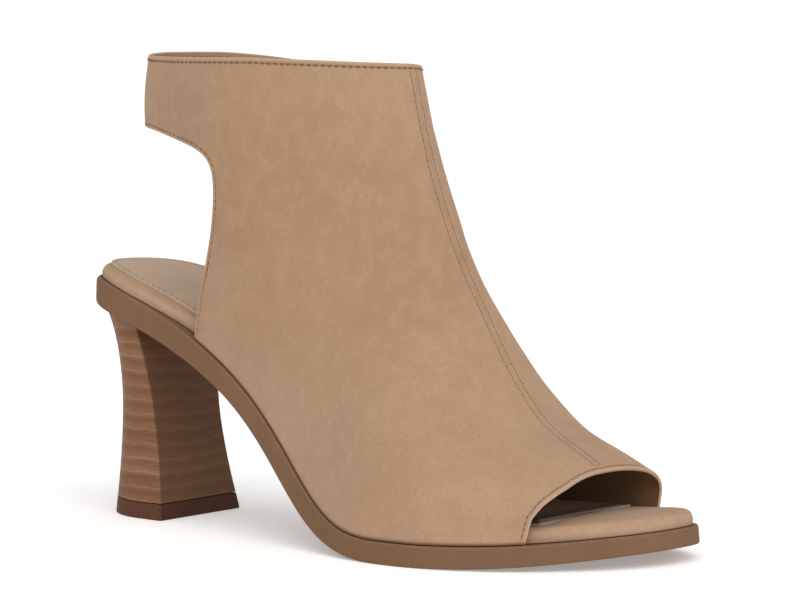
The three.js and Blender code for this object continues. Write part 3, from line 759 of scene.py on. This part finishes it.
# How far the collar drops on each side, in ankle widths behind and ahead, and the run between them.
tilt = dict(outer=(0.0, 0.0262, 0.246), inner=(0.0123, 0.055, 0.125))
toeCut = smoothTable(["rows"], [  # how many rows further forward the toe's edge is cut, by w
    [-1, -0.06], [-0.95, -0.06], [-0.9, -0.02], [-0.8, 0.05], [-0.7, 0.11], [-0.6, 0.165], [-0.5, 0.2], [-0.4, 0.22],
    [-0.3, 0.205], [-0.2, 0.17], [-0.1, 0.13], [0, 0.1], [0.15, 0.1], [0.3, 0.1], [0.6, 0.06], [1, 0],
])

length, collarHeight, ankleWidth = sole["length"], upper["collarHeight"], upper["ankleWidth"]
footRow, borderRow, collarRow = upper["footRow"], upper["borderRow"], upper["collarRow"]
featherOf = {"outer": feather.outer, "inner": feather.inner}


def footAt(name, row):
    return lift(length * featherOf[name](row), 0.0, upper["base"])


openingFoot = float(footAt("outer", np.float64(footRow))[2])


def openingPoint(row):
    return length * heelOpening.x(row), openingFoot + (collarHeight - openingFoot) * heelOpening.rise(row)


borderEnd = [float(v) for v in openingPoint(np.float64(borderRow))]
borderRidge = [float(length * ridge.x(borderRow)), float(collarHeight * ridge.z(borderRow))]


# Width, rear depth and last angle of a row that ends on the sole, from where it must land: half = foot + bulge,
# last = pi - asin(foot / half), rear = (reach - depth) / -cos(last).
def footSide(name, side, row, reach, depth):
    foot = side * (edgeAt(length * featherOf[name](row), side, upper["inset"]) - sole["ballWidth"] * ridge.y(row))
    half = foot + sole["ballWidth"] * overhang.bulge(row)
    last = np.pi - np.arcsin(np.clip(foot / half, -1, 1))
    return half, (reach - depth) / -np.cos(last), last


footEnd = {}  # half and rear of each side's last row on the sole, filled in below


# The measures of one side's rows: a row runs from the ridge to its end on the sole, on the opening's edge or
# behind the ankle, and half, rear and last shape its curve on the way.
def upperSide(name, side, row):
    rx, rz = length * ridge.x(row), collarHeight * ridge.z(row)
    depth = length * shape.depth(row)
    foot = footAt(name, row)
    k = np.clip((row - borderRow) / (collarRow - borderRow), 0, 1)
    openX, openZ = openingPoint(row)
    onFoot, onOpening = row <= footRow, row <= borderRow
    bandX = borderEnd[0] + length * upper["bandLean"] * k
    bandZ = borderEnd[1] + (collarHeight - borderEnd[1]) * k
    endX = np.where(onFoot, foot[..., 0], np.where(onOpening, openX, bandX))
    endZ = np.where(onFoot, foot[..., 2], np.where(onOpening, openZ, bandZ))
    reach = np.hypot(endX - rx, endZ - rz)
    half, rear, last = footSide(name, side, row, reach, depth)
    if name in footEnd:  # above the foot rows the ankle's own widths take over, gradually: fade = (1 - rows / 3)^2
        fade = np.maximum(0, 1 - (row - footRow) / upper["fadeRows"]) ** 2
        ownHalf = ankleWidth * ankle.half(row) + (footEnd[name][0] - ankleWidth * ankle.half(footRow)) * fade
        ownRear = length * ankle.rear(row) + (footEnd[name][1] - length * ankle.rear(footRow)) * fade
        ownLast = np.arccos(np.clip(-(reach - depth) / ownRear, -1, 1))
        foots, owns = (half, rear, last), (ownHalf, ownRear, ownLast)
        half, rear, last = (np.where(onFoot, atFoot, own) for atFoot, own in zip(foots, owns))
    bow = np.where(onFoot & (side < 0), length * feather.bow(row), 0)
    return dict(half=half, rear=rear, last=last, endX=endX, endZ=endZ, reach=reach, bow=bow)


for name, side in (("outer", -1), ("inner", 1)):
    lastFoot = upperSide(name, side, np.float64(footRow))
    footEnd[name] = (float(lastFoot["half"]), float(lastFoot["rear"]))


# The outer face. w runs from 0 on the centre seam to 1 at a row's lower edge, and on to 2 behind the ankle;
# it is negative on the outer side. With a the angle at w, in front of the widest point
# d = depth (1 - cos(a)^(2/p)), across = half sin(a)^(2/p); behind it d = depth - rear cos(a), across = half sin(a).
# d is measured from the ridge to the row's end; the band also follows its edges and tilts with the collar.
def upperSurface(row, w):
    row, w = np.broadcast_arrays(np.asarray(row, float), np.asarray(w, float))
    row = row - toeCut.rows(np.clip(w, -1, 1)) * np.maximum(1 - row / upper["cutRows"], 0) ** 2
    outer, inner = upperSide("outer", -1, row), upperSide("inner", 1, row)
    v = {key: np.where(w < 0, outer[key], inner[key]) for key in outer}
    side = np.where(w < 0, -1.0, 1.0)
    share = np.abs(w)
    a = np.where(share <= 1, share * v["last"], v["last"] + (share - 1) * (np.pi - v["last"]))
    c, s = np.cos(a), np.maximum(np.sin(a), 0)
    depth, power = length * shape.depth(row), 2 / shape.power(row)
    front = a < np.pi / 2
    d = np.where(front, depth * (1 - np.abs(c) ** power), depth - v["rear"] * c)
    across = v["half"] * np.where(front, s**power, s)
    t = d / v["reach"]
    rx, rz = length * ridge.x(row), collarHeight * ridge.z(row)
    x = rx + (v["endX"] - rx) * t + v["bow"] * 4 * t * (1 - t)
    z = rz + (v["endZ"] - rz) * t
    k = np.clip((row - borderRow) / (collarRow - borderRow), 0, 1)
    onBand = row >= borderRow
    behind = (x - borderEnd[0]) / (borderRidge[0] - borderEnd[0])
    edge = borderEnd[1] + collarHeight * bandEdge.rise(x / length)
    straight = borderEnd[1] + (borderRidge[1] - borderEnd[1]) * behind
    z = z + np.where(onBand & (behind < 0), (1 - k) * (edge - straight), 0)
    behind, ahead, run = (np.where(w < 0, tilt["outer"][i], tilt["inner"][i]) for i in (0, 1, 2))
    lean = np.clip((x / length - upper["leanStart"]) / run, 0, 1)
    rise = ankleWidth * (behind + (ahead - behind) * lean)
    z = z - np.where(onBand, k * rise * side * across / v["half"], 0)
    return np.stack([x, sole["ballWidth"] * ridge.y(row) + side * across, z], -1)


def unit(v):  # v / |v|
    return v / np.maximum(np.linalg.norm(v, axis=-1, keepdims=True), 1e-12)


# Outward direction of the upper at (row, w): the cross product of small steps across it and up it. At a row's
# ends the steps turn one-sided.
def upperNormal(row, w):
    row, w = np.broadcast_arrays(np.asarray(row, float), np.asarray(w, float))
    limit = np.where(row < borderRow, 1.0, 2.0)
    alongW = upperSurface(row, np.minimum(w + 0.006, limit)) - upperSurface(row, np.maximum(w - 0.006, -limit))
    alongR = upperSurface(np.minimum(row + 0.03, collarRow), w) - upperSurface(np.maximum(row - 0.03, 0), w)
    return unit(np.cross(alongW, alongR)) * outwardSign


outwardSign = 1.0  # turned below if the cross product points inward
outwardSign = float(np.sign(upperNormal(4.0, 0.6)[1]))


# How many millimetres one unit of w or row is worth at an edge, square to it: the length of the cross product
# of the step per unit with the edge's own direction.
def perUnit(edge, inward, step):
    return np.linalg.norm(np.cross((edge - inward) / step, unit(np.gradient(edge, axis=0))), axis=-1)


# The scales at all the edges, along with the places where they are known.
def edgeScales():
    def beside(rows):
        return [perUnit(upperSurface(rows, side), upperSurface(rows, side * 0.995), 0.005) for side in (-1.0, 1.0)]

    foot, opening = np.linspace(0, footRow, 801), np.linspace(footRow, borderRow, 501)
    across, ring = np.linspace(-1, 1, 801), np.linspace(-2, 2, 1601)
    step = 0.02
    return SimpleNamespace(
        foot=foot, opening=opening, across=across, ring=ring, footSides=beside(foot), openingSides=beside(opening),
        toe=perUnit(upperSurface(0.0, across), upperSurface(step, across), step),
        collar=perUnit(upperSurface(collarRow, ring), upperSurface(collarRow - step, ring), step),
        band=perUnit(upperSurface(borderRow, ring), upperSurface(borderRow + step, ring), step),
    )


scales = edgeScales()
farOff = 99.0  # mm, for what is nowhere near an edge


def sideScale(row, w, places, sides):  # the outer side's scale where w < 0, else the inner side's
    outer, inner = (np.interp(row, places, side) for side in sides)
    return np.where(w < 0, outer, inner)


# Distances in mm from the toe edge, the collar, the heel opening's edge and the sole, good near each.
def edgeDistances(row, w):
    beside = np.maximum(1 - np.abs(w), 0)
    below = np.maximum(footRow - row, 0) * upper["footRowLength"]
    toe = np.where(row < footRow, row * np.interp(w, scales.across, scales.toe), farOff)
    collar = (collarRow - row) * np.interp(w, scales.ring, scales.collar)
    over = np.maximum(row - borderRow, 0) * np.interp(w, scales.ring, scales.band)
    opening = np.hypot(beside * sideScale(row, w, scales.opening, scales.openingSides) + over, below)
    foot = np.where(
        row <= footRow, beside * sideScale(row, w, scales.foot, scales.footSides),
        beside * farOff + (row - footRow) * upper["openRowLength"],
    )
    return toe, collar, opening, foot


# What a folded and stitched edge does to the surface at the distance d from it, in mm: full up to the stitches
# at their distance at, sunk under them, and a low swell behind. Each is a bell.
def edgeRelief(d, at):
    return 0.16 * bell(d, at * 0.48, 0.55) - 0.17 * bell(d, at, 0.27) + 0.06 * bell(d, at + 0.9, 0.5)


def seamRelief(s):  # the same for the seam: a groove, a full edge, the stitches and a swell
    at = upper["seamStitch"]
    full, swell = 0.13 * bell(s, at * 0.5, 0.4), 0.05 * bell(s, at + 0.7, 0.5)
    return -0.18 * bell(s, 0, 0.35) + full - 0.12 * bell(s, at, 0.24) + swell


# Soft creases: from one (row, w) to another, how deep and how wide in mm.
creases = [
    ((9.2, -0.93), (8.7, -0.5), 0.4, 5.0), ((8.4, -0.9), (7.6, -0.62), 0.3, 6.0),
    ((10.6, -0.9), (10.1, -0.62), 0.22, 6.0), ((7.4, -0.24), (7.0, -0.46), 0.16, 5.0),
    ((6.2, -0.72), (5.3, -0.8), 0.25, 7.0), ((4.2, -0.84), (3.6, -0.7), 0.22, 7.0),
    ((9.2, 0.93), (8.7, 0.5), 0.4, 5.0), ((8.4, 0.9), (7.6, 0.62), 0.3, 6.0), ((7.4, 0.24), (7.0, 0.46), 0.16, 5.0),
    ((3.4, -0.24), (3.2, -0.52), 0.14, 4.5), ((3.4, 0.24), (3.2, 0.52), 0.14, 4.5),
    ((5.6, 0.72), (4.8, 0.8), 0.25, 7.0),
]


def creaseRelief(points):  # -depth exp(-(distance from the line / width)^2), with a low swell beside it
    total = np.zeros(points.shape[:-1])
    for start, end, depth, width in creases:
        p, q = upperSurface(*start), upperSurface(*end)
        line = q - p
        t = np.clip(((points - p) @ line) / (line @ line), 0, 1)
        away = np.linalg.norm(points - p - t[..., None] * line, axis=-1)
        total += depth * (0.35 * bell(away, width * 1.6, width * 0.8) - bell(away, 0, width))
    return total


# The upper as a sheet of (row, w) points: the body from the toe to the border, and the band all round. Its
# ladders are close at the edges, where the stitches and folds are.
def upperSheet():
    footRows = ladder((0, 0.018), (0.3, 0.02), (0.8, 0.08), (7, 0.095), (8, 0.07))
    openRows = ladder((8, 0.07), (9, 0.09), (12, 0.09), (13, 0.035))
    bandRows = ladder((13, 0.02), (13.3, 0.026), (13.6, 0.08), (14.4, 0.08), (14.7, 0.026), (15, 0.024))
    half = ladder((0, 0.003), (0.035, 0.0032), (0.09, 0.016), (0.9, 0.018), (0.955, 0.0035), (1, 0.003))
    back = ladder((1, 0.03), (1.1, 0.05), (2, 0.05))
    across = np.concatenate([-half[:0:-1], half])
    rows = np.concatenate([footRows, openRows[1:]])
    ring = np.concatenate([across, back[1:], -back[-2:0:-1]])
    body = np.arange(len(rows) * len(across)).reshape(len(rows), -1)
    borderBack = body.size + np.arange(len(ring) - len(across))
    above = body.size + len(borderBack) + np.arange((len(bandRows) - 1) * len(ring)).reshape(-1, len(ring))
    band = np.concatenate([np.concatenate([body[-1], borderBack])[None], above])
    row = np.concatenate([
        np.repeat(rows, len(across)), np.full(len(borderBack), borderRow), np.repeat(bandRows[1:], len(ring)),
    ])
    w = np.concatenate([np.tile(across, len(rows)), ring[len(across) :], np.tile(ring, len(bandRows) - 1)])
    edge = np.concatenate([body[0], body[1:, -1], borderBack, body[:0:-1, 0]])
    return SimpleNamespace(row=row, w=w, body=body, band=band, edge=edge, collar=band[-1], across=len(across))


def fromSeam(skin, sheet):  # distance from the centre seam in mm, run along every row
    seam = np.full(len(skin), farOff)
    for index in (sheet.body, sheet.band[1:, : sheet.across]):
        step = np.linalg.norm(np.diff(skin[index], axis=1), axis=-1)
        run = np.concatenate([np.zeros((len(index), 1)), np.cumsum(step, 1)], 1)
        seam[index] = np.abs(run - run[:, [sheet.across // 2]])
    return seam


def aroundPoints(values, faces, count):  # the sum of the faces' values at each of their points
    total = np.zeros((count, 3))
    for corner in range(4):
        np.add.at(total, faces[:, corner], values)
    return total


def makeUpper():
    sheet = upperSheet()
    row, w = sheet.row, sheet.w
    skin = upperSurface(row, w)
    count = len(skin)
    faces = np.concatenate([gridFaces(sheet.body), gridFaces(wrapped(sheet.band))])
    if outwardSign > 0:  # so that the faces look outward
        faces = faces[:, ::-1]
    normal = unit(aroundPoints(
        np.cross(skin[faces[:, 2]] - skin[faces[:, 0]], skin[faces[:, 3]] - skin[faces[:, 1]]), faces, count
    ))
    toe, collar, opening, foot = edgeDistances(row, w)
    seam = fromSeam(skin, sheet)
    relief = (
        edgeRelief(toe, upper["toeStitch"]) + edgeRelief(collar, upper["collarStitch"])
        + edgeRelief(opening, upper["openingStitch"])
    ) * smoothStep(0, 2.5, foot)
    relief += seamRelief(seam) * smoothStep(0.2, 1.5, np.minimum(toe, collar)) + creaseRelief(skin)
    nearest = np.minimum(np.minimum(toe, collar), opening)
    wall = upper["thinWall"] + (upper["wall"] - upper["thinWall"]) * smoothStep(0.5, 8, nearest)  # skived edges
    outerSkin, innerSkin = skin + normal * relief[:, None], skin - normal * wall[:, None]
    # Painted shade in the sunk stitch rows and the centre seam.
    groove = np.maximum.reduce([
        0.6 * bell(toe, upper["toeStitch"], 0.35), 0.3 * bell(collar, upper["collarStitch"], 0.35),
        0.5 * bell(opening, upper["openingStitch"], 0.35), 0.35 * bell(seam, 0, 0.35),
    ]) * smoothStep(0, 1.5, foot)
    # A painted highlight along the free edges, and a painted shadow where the suede meets the sole.
    rim = 1 - smoothStep(0.1, 0.5, nearest)
    shadow = bell(foot, 0, 0.75)
    none = np.zeros(count)
    points, allFaces = [outerSkin, innerSkin], [faces, faces[:, ::-1] + count]
    # Painted shade for the lining deep in the toe box.
    toeShade = 1 - smoothStep(5, 8, row)
    marks = {"rim": [rim, none], "foot": [shadow, shadow], "groove": [groove, none], "toeShade": [toeShade, toeShade]}
    hits = aroundPoints(np.ones((len(faces), 3)), faces, count)
    inward = aroundPoints(skin[faces].mean(1), faces, count) / hits - skin

    # A rolled edge: half an ellipse from the outer skin to the inner one, bulging away from the sheet.
    turn = np.linspace(0, np.pi, upper["rimSteps"] + 2)[1:-1]

    def rollEdge(loop, free):
        bulge = upper["footBulge"] + (upper["rimBulge"] - upper["footBulge"]) * free
        away = unit(np.cross(np.roll(skin[loop], -1, 0) - np.roll(skin[loop], 1, 0), normal[loop]))
        turned = -np.sign((away * inward[loop]).sum(-1).mean())
        arm = (outerSkin[loop] - innerSkin[loop]) / 2
        strip = (outerSkin[loop] - arm)[:, None] + arm[:, None] * np.cos(turn)[None, :, None]
        strip = strip + away[:, None] * turned * (bulge[:, None] * np.sin(turn))[..., None]
        index = sum(len(p) for p in points) + np.arange(len(loop) * len(turn)).reshape(len(loop), -1)
        index = np.concatenate([loop[:, None], index, loop[:, None] + count], 1)
        quads = gridFaces(np.concatenate([index, index[:1]]))
        allFaces.append(quads if turned > 0 else quads[:, ::-1])
        points.append(strip.reshape(-1, 3))
        # The roll's free part carries the painted highlight, and its seated part carries the painted shadow.
        marks["rim"].append(np.repeat(free, len(turn)))
        marks["foot"].append(np.repeat(shadow[loop] * (1 - free), len(turn)))
        marks["groove"].append(np.zeros(len(loop) * len(turn)))
        marks["toeShade"].append(np.repeat(toeShade[loop], len(turn)))

    edge = sheet.edge
    seated = (row[edge] <= footRow) & (np.abs(w[edge]) > 0.999)
    below = np.maximum(footRow - row[edge], 0) * upper["footRowLength"]
    free = 1 - seated * smoothStep(0, 1.5, np.minimum(toe[edge], below))
    rollEdge(edge, free)
    rollEdge(sheet.collar, np.ones(len(sheet.collar)))
    slots = np.concatenate([np.zeros(len(faces)), np.ones(len(faces)), *(np.zeros(len(f)) for f in allFaces[2:])])
    piece = makePiece(
        "suede_upper", np.concatenate(points), np.concatenate(allFaces), [looks.suede, looks.lining], slots,
        {key: np.concatenate(parts) for key, parts in marks.items()}, merge=False, sharp=70,
    )
    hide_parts("upper")


makeUpper()
print("upper made")


# One stitch lies along x from -1 to 1: rings of points round it, thinner at its ends, girth (1 - x^2)^0.35.
def stitchForm(around=6, rings=5):
    along = np.linspace(-0.94, 0.94, rings)
    turn = np.arange(around) / around * 2 * np.pi
    girth = np.sqrt(1 - along**2) ** 0.7
    ring = np.stack([
        np.repeat(along, around), np.tile(np.cos(turn), rings) * np.repeat(girth, around),
        np.tile(np.sin(turn), rings) * np.repeat(girth, around),
    ], -1)
    form = np.concatenate([ring, [[-1, 0, 0], [1, 0, 0]]])
    index = np.arange(around * rings).reshape(rings, around)
    quads = gridFaces(wrapped(index))
    first, last = wrapped(index)[0], wrapped(index)[-1]
    caps = [[around * rings, first[i], first[i + 1]] for i in range(around)]
    caps += [[around * rings + 1, last[i + 1], last[i]] for i in range(around)]
    return form, quads, np.array(caps)


# Stitches along a path with a given pitch, each size long and thick wide, bent down at its ends by 0.55 x^2, and
# between them the needle holes: small pits that lie almost flat, coloured dark as painted shade.
def runningStitches(name, path, normal, slot, material, pitch, size, thick, hole):
    run = np.concatenate([[0], np.cumsum(np.linalg.norm(np.diff(path, axis=0), axis=1))])
    count = max(int(run[-1] / pitch), 1)
    form, quads, caps = stitchForm()
    x, y, z = form.T

    def read(s, table):
        return np.stack([np.interp(s, run, table[:, k]) for k in range(3)], -1)

    def copies(at, long, wide, high):
        ahead = unit(read(np.minimum(at + 0.3, run[-1]), path) - read(np.maximum(at - 0.3, 0), path))
        up = read(at, normal)
        up = unit(up - ahead * (up * ahead).sum(-1, keepdims=True))
        beside = np.cross(up, ahead)
        axes = [axis[:, None] * value[None, :, None] for axis, value in ((ahead, long), (beside, wide), (up, high))]
        return (read(at, path)[:, None] + sum(axes)).reshape(-1, 3)

    even = run[-1] / count
    bent = thick * (z / 2 + 0.2 - 0.55 * x**2)
    stitches = copies((np.arange(count) + 0.5) * even, x * size / 2, y * thick / 2, bent)
    pits = copies(np.arange(count + 1) * even, x * hole / 2, y * hole / 2, z * 0.07 - 0.02)
    first = (np.arange(2 * count + 1) * len(form))[:, None, None]
    faces = (quads[None] + first).reshape(-1, 4).tolist() + (caps[None] + first).reshape(-1, 3).tolist()
    isPit = (np.arange(2 * count + 1) >= count).astype(int)
    slots = np.concatenate([np.repeat(isPit, len(quads)), np.repeat(isPit, len(caps))])
    piece = makePiece(
        name, np.concatenate([stitches, pits]), np.array(faces, object), [material, looks.hole], slots,
        merge=False, sharp=80,
    )


def onUpper(name, row, w, depth, material, **kind):  # a row of stitches through (row, w) points, sunk by depth
    normal = upperNormal(row, w)
    runningStitches(name, upperSurface(row, w) - normal * depth, normal, "suede", material, **kind)


stitching = dict(  # millimetres
    collar=dict(pitch=2.2, size=1.5, thick=0.6, hole=0.3), toe=dict(pitch=2.0, size=1.45, thick=0.36, hole=0.4),
    opening=dict(pitch=2.3, size=1.8, thick=0.38, hole=0.5), seam=dict(pitch=2.1, size=1.5, thick=0.4, hole=0.62),
    sock=dict(pitch=2.6, size=1.9, thick=0.42, hole=0.8),
)


def makeStitches():
    # Collar: all the way round, and its other side on the lining.
    w = np.linspace(-2, 2, 900)
    row = collarRow - upper["collarStitch"] / np.interp(w, scales.ring, scales.collar)
    onUpper("collar_stitches", row, w, 0.02, looks.brownThread, **stitching["collar"])
    normal = upperNormal(row, w)
    lining = upperSurface(row, w) - normal * (upper["thinWall"] + 0.08)
    runningStitches("collar_lining_stitches", lining, -normal, "suede", looks.brownThread, **stitching["collar"])
    # Toe opening, from the sole on one side to the sole on the other.
    w = np.linspace(-0.985, 0.985, 600)
    row = upper["toeStitch"] / np.interp(w, scales.across, scales.toe)
    onUpper("toe_stitches", row, w, 0.11, looks.brownThread, **stitching["toe"])
    # Heel opening: up one side, round the band's lower edge and down the other side.
    at = upper["openingStitch"]
    up = np.linspace(footRow + 0.12, borderRow, 260)
    sides = []
    for number, sign in enumerate((-1, 1)):
        beside = 1 - at / np.interp(up, scales.opening, scales.openingSides[number])
        cornerRow = borderRow + at / np.interp(sign, scales.ring, scales.band)
        rows = np.concatenate([up, np.linspace(borderRow, cornerRow, 30)[1:]])
        sides.append((rows, sign * np.concatenate([beside, np.linspace(beside[-1], 1, 30)[1:]])))
    w = np.linspace(1, 3, 400)[1:-1]
    w = np.where(w > 2, w - 4, w)
    row = borderRow + at / np.interp(w, scales.ring, scales.band)
    onUpper(
        "opening_stitches", np.concatenate([sides[1][0], row, sides[0][0][::-1]]),
        np.concatenate([sides[1][1], w, sides[0][1][::-1]]), 0.13, looks.brownThread, **stitching["opening"],
    )
    # Centre seam: a row on each side of it, where the run along the surface from the seam reaches seamStitch.
    r = np.linspace(0.22, 14.86, 700)
    reach = np.linspace(0, 0.12, 121)
    each = np.arange(len(r))
    for name, sign in (("outer_seam_stitches", -1), ("inner_seam_stitches", 1)):
        grid = upperSurface(r[:, None], sign * reach[None])
        run = np.cumsum(np.linalg.norm(np.diff(grid, axis=1, prepend=grid[:, :1]), axis=-1), 1)
        i = np.clip((run < upper["seamStitch"]).sum(1) - 1, 0, len(reach) - 2)
        share = (upper["seamStitch"] - run[each, i]) / (run[each, i + 1] - run[each, i])
        w = sign * (reach[i] + share * (reach[1] - reach[0]))
        onUpper(name, r, w, 0.05, looks.tanThread, **stitching["seam"])
    # Sock: round its edge from one side of the front to the other.
    parts = []
    for sign, last in ((-1, sockAngle), (1, sockInner)):
        f = np.linspace(last * 0.985, 0, 400)
        share = (1 - np.cos(f)) / 2
        at = insetPoint(f, sign, sockSide(share) + sock["stitch"])
        parts.append(lift(at[:, 0], at[:, 1], sockTop(shareAt(at[:, 0]), 1.0, sock["stitch"])))
    path = np.concatenate([parts[0], parts[1][::-1][1:]])
    slope = slopeAt(path[:, 0])
    normal = np.stack([-np.sin(slope), 0 * slope, np.cos(slope)], -1)
    runningStitches("sock_stitches", path, normal, "sock_leather", looks.paleThread, **stitching["sock"])


makeStitches()
print("stitches made")


studio = dict(
    floorSize=16.0, floorGlow=0.27, floor="#FBFAF9", floorCloud="#F7F6F5", walls="#FFFFFF",
    skyLight=0.56, skySeen=1.0, keyLight=1.55, keyFrom=(0.6, -0.45, 0.8), keyWidth=60.0,
    lens=228.583, sensor=36.0, distance=1597.53, azimuth=39.3668, elevation=5.8983, target=(125.0055, 0.0, 75.9307),
)


# Studio floor: white acrylic, lit softly from below, so the shadows stay light, with clouds of half a metre that
# are hardly seen.
def acrylic():
    material, tree, shader, place = newMaterial("lit white acrylic", {
        "Roughness": 0.9, "Specular IOR Level": 0.1, "Emission Strength": studio["floorGlow"],
        "Emission Color": studio["walls"],
    })
    cloud = addNode(tree, "TexNoise", {"Scale": 1 / 0.5, "Detail": 1.0}, {"Vector": place})
    coatAndRaise(tree, shader, studio["floor"], [(studio["floorCloud"], cloud, 1.0, 0.0)])
    return material


def makeStudio():
    size = studio["floorSize"] / 2
    mesh = bpy.data.meshes.new("floor")
    mesh.from_pydata([(-size, -size, 0), (size, -size, 0), (size, size, 0), (-size, size, 0)], [], [(0, 1, 2, 3)])
    mesh.materials.append(acrylic())
    floor = bpy.data.objects.new("floor", mesh)
    bpy.context.scene.collection.objects.link(floor)

    # White walls: they light the shoe softly and are seen as plain white.
    world = bpy.data.worlds.new("studio walls")
    bpy.context.scene.world = world
    world.use_nodes = True
    tree = world.node_tree
    tree.nodes.clear()
    seen = addNode(tree, "LightPath", output="Is Camera Ray")
    more = studio["skySeen"] - studio["skyLight"]
    settings = {"operation": "MULTIPLY_ADD", 1: more, 2: studio["skyLight"], "use_clamp": True}
    strength = addNode(tree, "Math", settings, {0: seen})
    walls = addNode(tree, "Background", {"Color": studio["walls"]}, {"Strength": strength})
    addNode(tree, "OutputWorld", links={"Surface": walls})

    key = bpy.data.lights.new("wide soft light", "SUN")  # a bank of lamps so far off that it lights all alike
    key.energy, key.angle = studio["keyLight"], math.radians(studio["keyWidth"])
    lamp = bpy.data.objects.new("wide soft light", key)
    lamp.rotation_euler = (-Vector(studio["keyFrom"])).to_track_quat("-Z", "Y").to_euler()
    bpy.context.scene.collection.objects.link(lamp)
    bpy.context.scene.view_settings.view_transform = "Standard"

    camera = bpy.data.objects.new("camera", bpy.data.cameras.new("camera"))
    camera.data.lens, camera.data.sensor_width = studio["lens"], studio["sensor"]
    camera.data.clip_start, camera.data.clip_end = 0.05, 20
    a, e = math.radians(studio["azimuth"]), math.radians(studio["elevation"])
    back = Vector((math.sin(a) * math.cos(e), -math.cos(a) * math.cos(e), math.sin(e)))
    target = Vector(((np.array(studio["target"]) + frameShift) * mm).tolist())
    camera.location = target + back * studio["distance"] * mm
    camera.rotation_euler = (-back).to_track_quat("-Z", "Y").to_euler()
    bpy.context.scene.collection.objects.link(camera)
    bpy.context.scene.camera = camera


makeStudio()
print("studio made")
